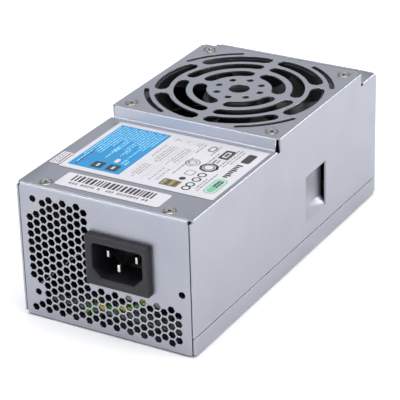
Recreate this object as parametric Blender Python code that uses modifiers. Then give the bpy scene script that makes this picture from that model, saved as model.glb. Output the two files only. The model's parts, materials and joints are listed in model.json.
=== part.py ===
"""Slim TFX computer power supply: folded steel case, mains inlet, 80 mm fan and the electronics inside.

Frame: X across the case (left is -X), Y along its length with the inlet panel at the -Y end, Z up from
the underside. The origin is under the middle of the case. Sizes below are in millimetres.
"""
import math

import bmesh
import bpy
from mathutils import Matrix, Vector

MM = 0.001

# Case
CASE_WIDTH = 85.0
CASE_LENGTH = 175.0
CASE_HEIGHT = 63.5
PLATEAU_HEIGHT = 68.8
SHEET = 0.8
GAP = 0.3
SEAM_Z = 8.9
SEAM_GAP = 0.5
BEND_RADIUS = 1.0
HALF_WIDTH = CASE_WIDTH / 2
HALF_LENGTH = CASE_LENGTH / 2
PANEL_GAP = 0.45
PANEL_HALF_WIDTH = HALF_WIDTH - SHEET - PANEL_GAP
RELIEF = 1.6
PLATEAU_FRONT_Y = -11.4
PLATEAU_REAR_Y = 72.0
STEP_RUN = 0.9

# Fan
FAN_CENTRE_Y = 30.6
FAN_SIZE = 80.0
FAN_DEPTH = 25.0
FAN_SCREW_PITCH = 71.5
FAN_TOP = PLATEAU_HEIGHT - SHEET - GAP
FAN_BOTTOM = FAN_TOP - FAN_DEPTH
FAN_BORE = 76.0
HUB_RADIUS = 17.0
BLADE_TIP_RADIUS = 36.8
BLADE_COUNT = 7

# Vents: regular hexagons, points to the sides
VENT_ACROSS_FLATS = 3.2
VENT_ROW_PITCH = 3.95
VENT_COLUMN_PITCH = 3.42
VENT_FIRST_X = -36.69
VENT_TOP_Z = 55.9
VENT_COLUMNS = 22
VENT_ROWS = 14
VENT_TALL_COLUMNS = 9
VENT_LOW_ROWS = 5

# Mounting holes in the front panel, (x, z)
MOUNT_HOLES = [(-34.7, 57.1), (-34.8, 12.4), (37.2, 28.7)]
MOUNT_HOLE_RADIUS = 1.6
MOUNT_CLEAR = 5.8
COLLAR_RADIUS = 2.4
COLLAR_DEPTH = 1.3

# Mains inlet
INLET_X = 7.6
INLET_Z = 36.4
BEZEL_WIDTH = 31.0
BEZEL_HEIGHT = 23.5
BEZEL_PROUD = 3.0
INLET_BODY_WIDTH = 27.4
INLET_BODY_HEIGHT = 20.0
INLET_BODY_DEPTH = 15.5
RECESS_WIDTH = 24.5
RECESS_HEIGHT = 16.0
RECESS_DEPTH = 16.0
PIN_SIZE = (2.0, 4.0)

# Board and its four raised bosses
BOARD_BOTTOM = 5.8
BOARD_THICK = 1.6
BOARD_TOP = BOARD_BOTTOM + BOARD_THICK
BOARD_HALF_WIDTH = 38.5
BOARD_FRONT_Y = -72.0
BOARD_REAR_Y = 80.0
BOSS_PLACES = [(-34.5, -66.0), (34.5, -66.0), (-34.5, 74.0), (34.5, 74.0)]
ON_BOARD = BOARD_TOP + GAP

# Cable bush in the rear panel
GROMMET_X = -18.0
GROMMET_Z = 30.0
GROMMET_HOLE_RADIUS = 13.0
GROMMET_BORE_RADIUS = 10.0
GROMMET_PROUD = 3.0

# Screws
COVER_SCREWS = [(-30.8, -82.3), (29.6, -82.3), (-26.2, 80.0), (27.0, 80.0)]
SCREW_HEAD_RADIUS = 2.55
SCREW_HEAD_HEIGHT = 0.85
SCREW_SHANK_RADIUS = 1.35
SCREW_CLEARANCE_RADIUS = 1.65
SEAT_DEPTH = 0.55
SEAT_RADIUS = 2.8
SEAT_RIM_RADIUS = 3.05

# Earth terminal on the floor of the base
EARTH_X = -22.0
EARTH_Y = -80.0

for old in list(bpy.data.objects):
    bpy.data.objects.remove(old, do_unlink=True)

parts = bpy.data.collections.new("power_supply_unit")
cutters = bpy.data.collections.new("cutters")
bpy.context.scene.collection.children.link(parts)
bpy.context.scene.collection.children.link(cutters)


# ---------------------------------------------------------------- materials
def material(name, colour, roughness, metallic=0.0):
    made = bpy.data.materials.get(name)
    if made is None:
        made = bpy.data.materials.new(name)
        made.use_nodes = True
        shader = made.node_tree.nodes["Principled BSDF"]
        shader.inputs["Base Color"].default_value = (*colour, 1.0)
        shader.inputs["Roughness"].default_value = roughness
        shader.inputs["Metallic"].default_value = metallic
    return made


STEEL = material("zinc_steel", (0.42, 0.44, 0.48), 0.42, 0.9)
BLACK_PLASTIC = material("black_plastic", (0.02, 0.02, 0.022), 0.5)
BRASS = material("plated_brass", (0.62, 0.60, 0.55), 0.3, 1.0)
PAPER = material("label_paper", (0.88, 0.88, 0.9), 0.5)
SCREW_STEEL = material("screw_steel", (0.55, 0.55, 0.56), 0.3, 1.0)
BOARD = material("board_laminate", (0.30, 0.22, 0.08), 0.6)
INSULATOR = material("insulating_film", (0.75, 0.76, 0.74), 0.4)
FERRITE = material("ferrite", (0.06, 0.06, 0.065), 0.6)
TAPE = material("winding_tape", (0.75, 0.55, 0.05), 0.5)
COPPER = material("enamelled_copper", (0.45, 0.16, 0.05), 0.35, 0.6)
ALUMINIUM = material("heatsink_aluminium", (0.6, 0.6, 0.61), 0.4, 1.0)
SLEEVE = material("capacitor_sleeve", (0.03, 0.04, 0.12), 0.35)
CHIP = material("transistor_epoxy", (0.03, 0.03, 0.03), 0.5)
GLASS = material("fuse_glass", (0.7, 0.72, 0.72), 0.1)
MAGNET = material("rubber_magnet", (0.08, 0.08, 0.08), 0.6)
BRONZE = material("sintered_bronze", (0.45, 0.28, 0.12), 0.45, 0.9)
RED = material("red_wire", (0.5, 0.02, 0.02), 0.4)
BLACK_WIRE = material("black_wire", (0.02, 0.02, 0.02), 0.4)
BROWN = material("brown_wire", (0.16, 0.06, 0.02), 0.4)
BLUE = material("blue_wire", (0.02, 0.09, 0.4), 0.4)
GREEN = material("earth_wire", (0.1, 0.4, 0.05), 0.4)


# ---------------------------------------------------------------- modelling helpers
def add_mesh(name, mesh, surface, smooth_angle=None):
    """Put a mesh in the scene as a named part."""
    part = bpy.data.objects.new(name, mesh)
    parts.objects.link(part)
    if surface is not None:
        mesh.materials.append(surface)
    if smooth_angle:
        mesh.shade_smooth()
        mesh.set_sharp_from_angle(angle=math.radians(smooth_angle))
    return part


def to_metres(shape):
    bmesh.ops.scale(shape, vec=(MM, MM, MM), verts=shape.verts)


def finish_mesh(name, shape):
    to_metres(shape)
    mesh = bpy.data.meshes.new(name)
    shape.to_mesh(mesh)
    shape.free()
    return mesh


def place_matrix(centre, axis):
    """Matrix that turns the Z axis to the named axis and moves to centre."""
    turn = {
        "Z": Matrix.Identity(4),
        "Y": Matrix.Rotation(math.radians(-90), 4, "X"),
        "X": Matrix.Rotation(math.radians(90), 4, "Y"),
    }[axis]
    return Matrix.Translation(Vector(centre)) @ turn


def box(name, low, high, surface, bevel=0.0, segments=1):
    """Block between two corners, with its edges rounded where bevel is given."""
    shape = bmesh.new()
    size = Vector(high) - Vector(low)
    middle = (Vector(high) + Vector(low)) / 2
    place = Matrix.Translation(middle) @ Matrix.Diagonal((*size, 1.0))
    bmesh.ops.create_cube(shape, size=1.0, matrix=place)
    part = add_mesh(name, finish_mesh(name, shape), surface)
    if bevel:
        round_edges(part, bevel, segments)
    return part


def round_edges(part, width, segments=1, angle=40):
    modifier = part.modifiers.new("rounded_edges", "BEVEL")
    modifier.width = width * MM
    modifier.segments = segments
    modifier.limit_method = "ANGLE"
    modifier.angle_limit = math.radians(angle)
    return modifier


def rod(name, radius, length, start, surface, axis="Z", sides=20, end_radius=None):
    """Round bar or cone that starts at a point and runs along an axis."""
    shape = bmesh.new()
    ahead = {"X": Vector((1, 0, 0)), "Y": Vector((0, 1, 0)), "Z": Vector((0, 0, 1))}[axis]
    middle = Vector(start) + ahead * (length / 2)
    far_radius = radius if end_radius is None else end_radius
    bmesh.ops.create_cone(shape, cap_ends=True, segments=sides, radius1=radius, radius2=far_radius,
                          depth=length, matrix=place_matrix(middle, axis))
    return add_mesh(name, finish_mesh(name, shape), surface, 40)


def turned(name, profile, centre, surface, steps=24, axis="Z"):
    """Round part from (radius, height) points listed down the outer side, top to bottom."""
    mesh = bpy.data.meshes.new(name)
    points = [(radius * MM, 0.0, height * MM) for radius, height in profile]
    closed = profile[0][0] > 0
    edges = [(i, i + 1) for i in range(len(points) - 1)]
    if closed:
        edges.append((len(points) - 1, 0))
    mesh.from_pydata(points, edges, [])
    part = add_mesh(name, mesh, surface)
    part.matrix_world = place_matrix(Vector(centre) * MM, axis)
    screw = part.modifiers.new("turned", "SCREW")
    screw.steps = steps
    screw.render_steps = steps
    screw.use_merge_vertices = True
    screw.merge_threshold = 0.00001
    screw.use_smooth_shade = False
    return part


def plate(name, outlines, thickness, middle, surface, axis="Z"):
    """Flat plate from 2D outlines, the first the edge and the rest its holes, facing along an axis."""
    curve = bpy.data.curves.new(name, "CURVE")
    curve.dimensions = "2D"
    curve.fill_mode = "BOTH"
    curve.extrude = thickness / 2 * MM
    for outline in outlines:
        spline = curve.splines.new("POLY")
        spline.points.add(len(outline) - 1)
        for point, (u, v) in zip(spline.points, outline):
            point.co = (u * MM, v * MM, 0.0, 1.0)
        spline.use_cyclic_u = True
    part = bpy.data.objects.new(name, curve)
    parts.objects.link(part)
    part.matrix_world = place_matrix(Vector(middle) * MM, axis)
    return as_mesh(part, surface)


def as_mesh(part, surface):
    """Turn a curve object into a closed mesh part of the same name."""
    bpy.context.view_layer.update()
    evaluated = part.evaluated_get(bpy.context.evaluated_depsgraph_get())
    mesh = bpy.data.meshes.new_from_object(evaluated)
    shape = bmesh.new()
    shape.from_mesh(mesh)
    bmesh.ops.remove_doubles(shape, verts=shape.verts, dist=0.000005)
    bmesh.ops.recalc_face_normals(shape, faces=shape.faces)
    shape.to_mesh(mesh)
    shape.free()
    name = part.name
    place = part.matrix_world.copy()
    bpy.data.objects.remove(part, do_unlink=True)
    mesh.materials.clear()
    made = add_mesh(name, mesh, surface)
    made.name = name
    made.matrix_world = place
    return made


def wire(name, route, radius, surface, step=3.0):
    """Insulated lead along a smooth curve through the route's points."""
    points = [Vector(p) for p in route]
    ends = [2 * points[0] - points[1]] + points + [2 * points[-1] - points[-2]]
    smooth = []
    for i in range(1, len(ends) - 2):
        a, b, c, d = ends[i - 1:i + 3]
        count = max(2, round((c - b).length / step))
        for k in range(count):
            t = k / count
            smooth.append(0.5 * ((2 * b) + (c - a) * t + (2 * a - 5 * b + 4 * c - d) * t * t
                                 + (3 * b - a - 3 * c + d) * t ** 3))
    smooth.append(points[-1])
    curve = bpy.data.curves.new(name, "CURVE")
    curve.dimensions = "3D"
    curve.bevel_depth = radius * MM
    curve.bevel_resolution = 1
    curve.use_fill_caps = True
    spline = curve.splines.new("POLY")
    spline.points.add(len(smooth) - 1)
    for point, place in zip(spline.points, smooth):
        point.co = (*(place * MM), 1.0)
    part = bpy.data.objects.new(name, curve)
    parts.objects.link(part)
    return as_mesh(part, surface)


def join_shapes(name, pieces):
    """Join separate part objects into one object, for use as a cutter or an addition."""
    shape = bmesh.new()
    depsgraph = bpy.context.evaluated_depsgraph_get()
    bpy.context.view_layer.update()
    for piece in pieces:
        mesh = bpy.data.meshes.new_from_object(piece.evaluated_get(depsgraph))
        mesh.transform(piece.matrix_world)
        shape.from_mesh(mesh)
    mesh = bpy.data.meshes.new(name)
    shape.to_mesh(mesh)
    shape.free()
    for piece in pieces:
        bpy.data.objects.remove(piece, do_unlink=True)
    return add_mesh(name, mesh, None)


def combine(part, pieces, operation):
    """Cut shapes from a part, or join them to it."""
    name = f"{part.name}_{operation.lower()}_{len(part.modifiers)}"
    tool = join_shapes(name, pieces)
    parts.objects.unlink(tool)
    cutters.objects.link(tool)
    tool.hide_render = True
    tool.display_type = "WIRE"
    modifier = part.modifiers.new(name, "BOOLEAN")
    modifier.operation = operation
    modifier.object = tool
    modifier.solver = "EXACT"
    return part


def cut(part, pieces):
    return combine(part, pieces, "DIFFERENCE")


def unite(part, pieces):
    return combine(part, pieces, "UNION")


def arc(radius, start, end, count, centre=(0.0, 0.0)):
    """Points on an arc, in degrees."""
    return [(centre[0] + radius * math.cos(math.radians(start + (end - start) * k / count)),
             centre[1] + radius * math.sin(math.radians(start + (end - start) * k / count)))
            for k in range(count + 1)]


def rounded_rectangle(width, height, radius, count=4, centre=(0.0, 0.0)):
    outline = []
    for quarter, (sx, sy) in enumerate([(1, 1), (-1, 1), (-1, -1), (1, -1)]):
        corner = (centre[0] + sx * (width / 2 - radius), centre[1] + sy * (height / 2 - radius))
        outline += arc(radius, 90 * quarter, 90 * quarter + 90, count, corner)
    return outline


def folded_sheet(name, faces, bends, surface):
    """Sheet-metal shell: flat faces that share edges, rounded at the bends, thickened inwards."""
    shape = bmesh.new()
    places = {}
    for face in faces:
        for point in face:
            if point not in places:
                places[point] = shape.verts.new(point)
    for face in faces:
        shape.faces.new([places[point] for point in face])
    bmesh.ops.recalc_face_normals(shape, faces=shape.faces)
    weight = shape.edges.layers.float.new("bevel_weight_edge")
    for start, end in bends:
        shape.edges.get((places[start], places[end]))[weight] = 1.0
    part = add_mesh(name, finish_mesh(name, shape), surface)
    bend = part.modifiers.new("bends", "BEVEL")
    bend.width = BEND_RADIUS * MM
    bend.segments = 3
    bend.limit_method = "WEIGHT"
    thicken = part.modifiers.new("sheet", "SOLIDIFY")
    thicken.thickness = SHEET * MM
    thicken.offset = -1.0
    thicken.use_even_offset = True
    return part


# ---------------------------------------------------------------- case
def end_fold(side):
    """Faces and bends of one end panel of the base, with the lip that goes under the cover."""
    y = side * HALF_LENGTH
    narrow = PANEL_HALF_WIDTH - 0.5
    top_run = 1.05
    slope = 0.45
    lip_z = CASE_HEIGHT - SHEET - 0.4
    lip_end = 12.0
    panel = [(-narrow, y, 0.0), (narrow, y, 0.0), (narrow, y, RELIEF), (PANEL_HALF_WIDTH, y, RELIEF),
             (PANEL_HALF_WIDTH, y, CASE_HEIGHT - RELIEF), (narrow, y, CASE_HEIGHT - RELIEF),
             (narrow, y, CASE_HEIGHT), (-narrow, y, CASE_HEIGHT), (-narrow, y, CASE_HEIGHT - RELIEF),
             (-PANEL_HALF_WIDTH, y, CASE_HEIGHT - RELIEF), (-PANEL_HALF_WIDTH, y, RELIEF),
             (-narrow, y, RELIEF)]
    run = [(y, CASE_HEIGHT), (y - side * top_run, CASE_HEIGHT),
           (y - side * (top_run + slope), lip_z), (y - side * lip_end, lip_z)]
    faces = [panel]
    for (y0, z0), (y1, z1) in zip(run, run[1:]):
        faces.append([(-narrow, y0, z0), (narrow, y0, z0), (narrow, y1, z1), (-narrow, y1, z1)])
    bends = [((-narrow, y, 0.0), (narrow, y, 0.0)), ((-narrow, y, CASE_HEIGHT), (narrow, y, CASE_HEIGHT))]
    return faces, bends


def base_tray():
    """Bottom, both end panels and the low side flanges."""
    narrow = PANEL_HALF_WIDTH - 0.5
    notch_y = HALF_LENGTH - RELIEF
    end_y = HALF_LENGTH - 0.2
    bottom = []
    for sx, sy in [(-1, -1), (1, -1), (1, 1), (-1, 1)]:
        corner = [(sx * HALF_WIDTH, sy * notch_y, 0.0), (sx * narrow, sy * notch_y, 0.0),
                  (sx * narrow, sy * HALF_LENGTH, 0.0)]
        bottom += corner if sx * sy > 0 else corner[::-1]
    faces = [bottom]
    bends = []
    for sx in (-1, 1):
        x = sx * HALF_WIDTH
        faces.append([(x, -notch_y, 0.0), (x, notch_y, 0.0), (x, notch_y, RELIEF), (x, end_y, RELIEF),
                      (x, end_y, SEAM_Z), (x, -end_y, SEAM_Z), (x, -end_y, RELIEF), (x, -notch_y, RELIEF)])
        bends.append(((x, -notch_y, 0.0), (x, notch_y, 0.0)))
    for side in (-1, 1):
        end_faces, end_bends = end_fold(side)
        faces += end_faces
        bends += end_bends
    tray = folded_sheet("base_tray", faces, bends, STEEL)

    boss_height = BOARD_BOTTOM - GAP - SHEET / 2
    bosses = [rod(f"boss_{i}", 3.2, boss_height, (x, y, SHEET / 2), None, end_radius=2.6, sides=16)
              for i, (x, y) in enumerate(BOSS_PLACES)]
    unite(tray, bosses)
    collar_y = -HALF_LENGTH + SHEET / 2
    collars = [rod(f"collar_{i}", COLLAR_RADIUS, SHEET / 2 + COLLAR_DEPTH, (x, collar_y, z), None, "Y", 16)
               for i, (x, z) in enumerate(MOUNT_HOLES)]
    unite(tray, collars)

    openings = [rod(f"boss_hole_{i}", 1.45, 20.0, (x, y, 1.2), None, sides=10)
                for i, (x, y) in enumerate(BOSS_PLACES)]
    front = -HALF_LENGTH - 3.0
    openings += [rod(f"mount_hole_{i}", MOUNT_HOLE_RADIUS, 6.0, (x, front, z), None, "Y", 16)
                 for i, (x, z) in enumerate(MOUNT_HOLES)]
    openings.append(box("inlet_opening",
                        (INLET_X - INLET_BODY_WIDTH / 2 - GAP, front, INLET_Z - INLET_BODY_HEIGHT / 2 - GAP),
                        (INLET_X + INLET_BODY_WIDTH / 2 + GAP, front + 6.0,
                         INLET_Z + INLET_BODY_HEIGHT / 2 + GAP), None))
    openings.append(rod("bush_hole", GROMMET_HOLE_RADIUS, 6.0,
                        (GROMMET_X, HALF_LENGTH - 3.0, GROMMET_Z), None, "Y", 32))
    openings += [rod(f"lip_hole_{i}", SCREW_CLEARANCE_RADIUS, 6.0, (x, y, CASE_HEIGHT - 4.0), None, sides=12)
                 for i, (x, y) in enumerate(COVER_SCREWS)]
    openings.append(rod("earth_screw_hole", SCREW_CLEARANCE_RADIUS, 6.0, (EARTH_X, EARTH_Y, -3.0), None,
                        sides=12))
    cut(tray, openings)
    cut(tray, vent_cutters())
    return tray


def vent_places():
    """Centres (x, z) of the hexagonal vents: tall columns on the left, a low band under the inlet."""
    for column in range(VENT_COLUMNS):
        x = VENT_FIRST_X + VENT_COLUMN_PITCH * column
        raised = VENT_ROW_PITCH / 2 if column % 2 else 0.0
        first = 0
        if column >= VENT_TALL_COLUMNS:
            first = VENT_ROWS - VENT_LOW_ROWS + (1 if column % 2 else 0)
        for row in range(first, VENT_ROWS):
            z = VENT_TOP_Z + raised - VENT_ROW_PITCH * row
            if column < 2 and any(abs(z - hole_z) < MOUNT_CLEAR for _, hole_z in MOUNT_HOLES[:2]):
                continue
            if overlaps_bezel(x, z):
                continue
            yield x, z


def overlaps_bezel(x, z):
    reach = VENT_ACROSS_FLATS * 0.58
    left = INLET_X - INLET_BODY_WIDTH / 2 - GAP - 0.5
    right = INLET_X + INLET_BODY_WIDTH / 2 + GAP + 0.5
    low = INLET_Z - INLET_BODY_HEIGHT / 2 - GAP - 0.5
    high = INLET_Z + INLET_BODY_HEIGHT / 2 + GAP + 0.5
    return left < x + reach and x - reach < right and low < z + reach and z - reach < high


def vent_cutters():
    radius = VENT_ACROSS_FLATS / math.sqrt(3)
    depth = 4.0
    shape = bmesh.new()
    for x, z in vent_places():
        middle = place_matrix((x, -HALF_LENGTH, z), "Y")
        turn = Matrix.Rotation(math.radians(30), 4, "Z")
        bmesh.ops.create_cone(shape, cap_ends=True, segments=6, radius1=radius, radius2=radius, depth=depth,
                              matrix=middle @ turn)
    return [add_mesh("vents", finish_mesh("vents", shape), None)]


def top_cover():
    """Top and sides: low top at the front, raised plateau over the fan, low strip at the rear."""
    low = CASE_HEIGHT
    high = PLATEAU_HEIGHT
    foot = SEAM_Z + SEAM_GAP
    inner = HALF_WIDTH - RELIEF
    top_front = -HALF_LENGTH + 1.8
    top_rear = -top_front
    front_foot = PLATEAU_FRONT_Y - STEP_RUN
    rear_foot = PLATEAU_REAR_Y + STEP_RUN
    end_y = HALF_LENGTH - 0.1
    slot = 0.5
    deep = 1.3
    faces = [
        [(-HALF_WIDTH, top_front, low), (HALF_WIDTH, top_front, low),
         (HALF_WIDTH, front_foot - slot, low), (inner, front_foot - slot, low), (inner, front_foot, low),
         (-inner, front_foot, low), (-inner, front_foot - slot, low), (-HALF_WIDTH, front_foot - slot, low)],
        [(-inner, front_foot, low), (inner, front_foot, low),
         (inner, PLATEAU_FRONT_Y, high), (-inner, PLATEAU_FRONT_Y, high)],
        [(-inner, PLATEAU_FRONT_Y, high), (inner, PLATEAU_FRONT_Y, high),
         (inner, PLATEAU_FRONT_Y + deep, high), (HALF_WIDTH, PLATEAU_FRONT_Y + deep, high),
         (HALF_WIDTH, PLATEAU_REAR_Y - deep, high), (inner, PLATEAU_REAR_Y - deep, high),
         (inner, PLATEAU_REAR_Y, high), (-inner, PLATEAU_REAR_Y, high),
         (-inner, PLATEAU_REAR_Y - deep, high), (-HALF_WIDTH, PLATEAU_REAR_Y - deep, high),
         (-HALF_WIDTH, PLATEAU_FRONT_Y + deep, high), (-inner, PLATEAU_FRONT_Y + deep, high)],
        [(-inner, PLATEAU_REAR_Y, high), (inner, PLATEAU_REAR_Y, high),
         (inner, rear_foot, low), (-inner, rear_foot, low)],
        [(-inner, rear_foot, low), (inner, rear_foot, low), (inner, rear_foot + slot, low),
         (HALF_WIDTH, rear_foot + slot, low), (HALF_WIDTH, top_rear, low), (-HALF_WIDTH, top_rear, low),
         (-HALF_WIDTH, rear_foot + slot, low), (-inner, rear_foot + slot, low)],
    ]
    bends = [((-inner, front_foot, low), (inner, front_foot, low)),
             ((-inner, PLATEAU_FRONT_Y, high), (inner, PLATEAU_FRONT_Y, high)),
             ((-inner, PLATEAU_REAR_Y, high), (inner, PLATEAU_REAR_Y, high)),
             ((-inner, rear_foot, low), (inner, rear_foot, low))]
    for x in (-HALF_WIDTH, HALF_WIDTH):
        faces.append([
            (x, -end_y, foot), (x, end_y, foot), (x, end_y, low - deep), (x, top_rear, low - deep),
            (x, top_rear, low), (x, rear_foot + slot, low), (x, rear_foot + slot, low - deep),
            (x, PLATEAU_REAR_Y - deep, low - deep), (x, PLATEAU_REAR_Y - deep, high),
            (x, PLATEAU_FRONT_Y + deep, high), (x, PLATEAU_FRONT_Y + deep, low - deep),
            (x, front_foot - slot, low - deep), (x, front_foot - slot, low), (x, top_front, low),
            (x, top_front, low - deep), (x, -end_y, low - deep)])
        bends += [((x, top_front, low), (x, front_foot - slot, low)),
                  ((x, PLATEAU_FRONT_Y + deep, high), (x, PLATEAU_REAR_Y - deep, high)),
                  ((x, rear_foot + slot, low), (x, top_rear, low))]
    cover = folded_sheet("top_cover", faces, bends, STEEL)
    hook_pocket(cover)
    cut(cover, grille_cutters())
    places = [(x, y, high) for x, y in fan_screw_places()]
    places += [(x, y, low) for x, y in COVER_SCREWS]
    cut(cover, [rod(f"screw_hole_{i}", SCREW_CLEARANCE_RADIUS, 6.0, (x, y, z - 3.0), None, sides=12)
                for i, (x, y, z) in enumerate(places)])
    above = 1.0
    flare = (SEAT_RIM_RADIUS - SEAT_RADIUS) * (SEAT_DEPTH + above) / SEAT_DEPTH
    cut(cover, [rod(f"screw_seat_{i}", SEAT_RADIUS, SEAT_DEPTH + above, (x, y, z - SEAT_DEPTH), None,
                    sides=20, end_radius=SEAT_RADIUS + flare) for i, (x, y, z) in enumerate(places)])
    return cover


def hook_pocket(cover):
    """Flat-bottomed pocket pressed into the right side, sheared open at its rear end for a case hook."""
    start_y, floor_start_y, mouth_y = 13.8, 18.2, 34.0
    low_z, high_z = 17.2, 40.2
    floor_low, floor_high = 22.5, 36.9
    depth = 2.6
    x = HALF_WIDTH

    def pressed(name, inset, reach, grow):
        """Block with a sloping front end and sloping sides, from outside the side face to its floor."""
        outer = x + reach
        floor = x - depth - inset
        shape = bmesh.new()
        ring = [
            (outer, start_y - grow, low_z - grow), (outer, mouth_y, low_z - grow),
            (outer, mouth_y, high_z + grow), (outer, start_y - grow, high_z + grow),
            (floor, floor_start_y - grow, floor_low - grow), (floor, mouth_y, floor_low - grow),
            (floor, mouth_y, floor_high + grow), (floor, floor_start_y - grow, floor_high + grow)]
        points = [shape.verts.new(place) for place in ring]
        for corners in [(0, 1, 2, 3), (4, 5, 6, 7), (0, 1, 5, 4), (1, 2, 6, 5), (2, 3, 7, 6), (3, 0, 4, 7)]:
            shape.faces.new([points[c] for c in corners])
        bmesh.ops.recalc_face_normals(shape, faces=shape.faces)
        return add_mesh(name, finish_mesh(name, shape), None)

    unite(cover, [pressed("pocket_metal", SHEET, -0.2, 0.6)])
    cut(cover, [pressed("pocket_hollow", 0.0, 0.1, 0.0)])
    mouth = box("pocket_mouth", (x - depth + 0.15, mouth_y - 0.4, floor_low + 0.2),
                (x - SHEET - 0.2, mouth_y + 1.5, floor_high - 0.2), None)
    cut(cover, [mouth])


def slot_outline(inner, outer, start, end, count):
    """Curved slot between two radii with round ends, angles in degrees."""
    middle = (inner + outer) / 2
    half = (outer - inner) / 2
    ease = math.degrees(half / middle)
    first = start + ease
    last = end - ease
    outline = arc(outer, first, last, count)
    for angle, swing in ((last, 0), (first, 180)):
        centre = (middle * math.cos(math.radians(angle)), middle * math.sin(math.radians(angle)))
        cap = arc(half, angle + swing, angle + swing + 180, 4, centre)
        outline += cap[1:-1]
        if swing == 0:
            outline += arc(inner, last, first, count)
    return outline


def grille_cutters():
    """Rings of curved slots, a ring of small holes and a centre hole above the fan."""
    spoke = 3.1
    rings = [
        (15.0, 21.4, [0, 90, 180, 270], 8),
        (24.4, 30.2, [0, 90, 180, 270], 10),
        (32.4, 39.2, [30, 90, 150, 210, 270, 330], 7),
    ]
    centre = (0.0, FAN_CENTRE_Y, PLATEAU_HEIGHT)
    depth = 5.0
    pieces = []
    for ring, (inner, outer, spokes, count) in enumerate(rings):
        half_spoke = math.degrees(spoke / 2 / ((inner + outer) / 2))
        for k, angle in enumerate(spokes):
            following = spokes[(k + 1) % len(spokes)] + (360 if k + 1 == len(spokes) else 0)
            outline = slot_outline(inner, outer, angle + half_spoke, following - half_spoke, count)
            pieces.append(plate(f"slot_{ring}_{k}", [outline], depth, centre, None))
    for k in range(4):
        angle = 45 + 90 * k
        outline = slot_outline(41.2, 43.6, angle - 20, angle + 20, 5)
        pieces.append(plate(f"corner_slot_{k}", [outline], depth, centre, None))
    for k in range(8):
        angle = math.radians(45 * k)
        place = (10.6 * math.cos(angle), FAN_CENTRE_Y + 10.6 * math.sin(angle), PLATEAU_HEIGHT - depth / 2)
        pieces.append(rod(f"small_hole_{k}", 1.7, depth, place, None, sides=10))
    pieces.append(rod("centre_hole", 4.85, depth, (0.0, FAN_CENTRE_Y, PLATEAU_HEIGHT - depth / 2), None,
                      sides=24))
    return pieces


# ---------------------------------------------------------------- mains inlet
def inlet_housing():
    front = -HALF_LENGTH - BEZEL_PROUD
    panel = -HALF_LENGTH
    bezel = box("inlet_housing", (INLET_X - BEZEL_WIDTH / 2, front, INLET_Z - BEZEL_HEIGHT / 2),
                (INLET_X + BEZEL_WIDTH / 2, panel - 0.1, INLET_Z + BEZEL_HEIGHT / 2), BLACK_PLASTIC)
    round_edges(bezel, 0.9, 2)
    body = box("inlet_body",
               (INLET_X - INLET_BODY_WIDTH / 2, panel - 1.0, INLET_Z - INLET_BODY_HEIGHT / 2),
               (INLET_X + INLET_BODY_WIDTH / 2, panel + INLET_BODY_DEPTH, INLET_Z + INLET_BODY_HEIGHT / 2),
               None)
    unite(bezel, [body])
    half_w = RECESS_WIDTH / 2
    half_h = RECESS_HEIGHT / 2
    chamfer = 4.5
    soft = 1.6
    outline = [(-half_w, -half_h + chamfer), (-half_w + chamfer, -half_h), (half_w - chamfer, -half_h),
               (half_w, -half_h + chamfer)]
    outline += arc(soft, 0, 90, 3, (half_w - soft, half_h - soft))
    outline += arc(soft, 90, 180, 3, (-half_w + soft, half_h - soft))
    # plate() facing Y maps its second axis to -Z, so the outline is turned over
    flipped = [(u, -v) for u, v in outline]
    middle = (INLET_X, front + RECESS_DEPTH / 2 - 1.0, INLET_Z)
    recess = plate("inlet_recess", [flipped], RECESS_DEPTH + 2.0, middle, None, "Y")
    cut(bezel, [recess])
    half_x, half_z = 1.25, 2.25
    cut(bezel, [box(f"{name}_slot", (x - half_x, panel + 5.0, z - half_z),
                    (x + half_x, panel + 20.0, z + half_z), None) for name, (x, z) in pin_places().items()])
    return bezel


def pin_places():
    return {"live_pin": (INLET_X + 7.0, INLET_Z + 1.9), "neutral_pin": (INLET_X - 7.0, INLET_Z + 1.9),
            "earth_pin": (INLET_X, INLET_Z - 2.1)}


def inlet_pins():
    bezel_front = -HALF_LENGTH - BEZEL_PROUD
    tab_end = -HALF_LENGTH + INLET_BODY_DEPTH + 6.0
    for name, (x, z) in pin_places().items():
        tip = bezel_front + (1.7 if name == "earth_pin" else 4.7)
        box(name, (x - PIN_SIZE[0] / 2, tip, z - PIN_SIZE[1] / 2),
            (x + PIN_SIZE[0] / 2, tab_end, z + PIN_SIZE[1] / 2), BRASS, 0.5, 2)


# ---------------------------------------------------------------- labels and screws
def labels():
    rest = CASE_HEIGHT + 0.05
    film = 0.15

    def label(name, left, right, near, far, corner):
        outline = rounded_rectangle(right - left, far - near, corner, 3)
        plate(name, [outline], film, ((left + right) / 2, (near + far) / 2, rest + film / 2), PAPER)

    label("rating_label", -35.0, 40.6, -66.4, -15.8, 0.8)
    label("serial_label", -27.0, 23.9, -82.4, -69.9, 1.2)
    label("inspection_sticker", -40.6, -35.6, -65.3, -53.4, 0.4)


def cross_screw(name, x, y, z, length, head_radius=SCREW_HEAD_RADIUS, shank=SCREW_SHANK_RADIUS):
    """Pan-head screw seated on z, with a cross recess."""
    top = SCREW_HEAD_HEIGHT
    seat = 0.1
    profile = [(0.0, top), (head_radius * 0.8, top * 0.85), (head_radius, top * 0.35),
               (head_radius, seat), (shank, seat), (0.0, -length)]
    screw = turned(name, profile, (x, y, z), SCREW_STEEL, 12)
    reach = head_radius * 0.58
    half_arm = 0.4
    recess_z = z + 0.35
    cross = box(f"{name}_arm_a", (x - reach, y - half_arm, recess_z),
                (x + reach, y + half_arm, z + 3.0), None)
    unite(cross, [box(f"{name}_arm_b", (x - half_arm, y - reach, recess_z + 0.01),
                      (x + half_arm, y + reach, z + 3.1), None)])
    cut(screw, [cross])
    return screw


def fan_screw_places():
    half = FAN_SCREW_PITCH / 2
    return [(sx * half, FAN_CENTRE_Y + sy * half) for sy in (-1, 1) for sx in (-1, 1)]


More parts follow.
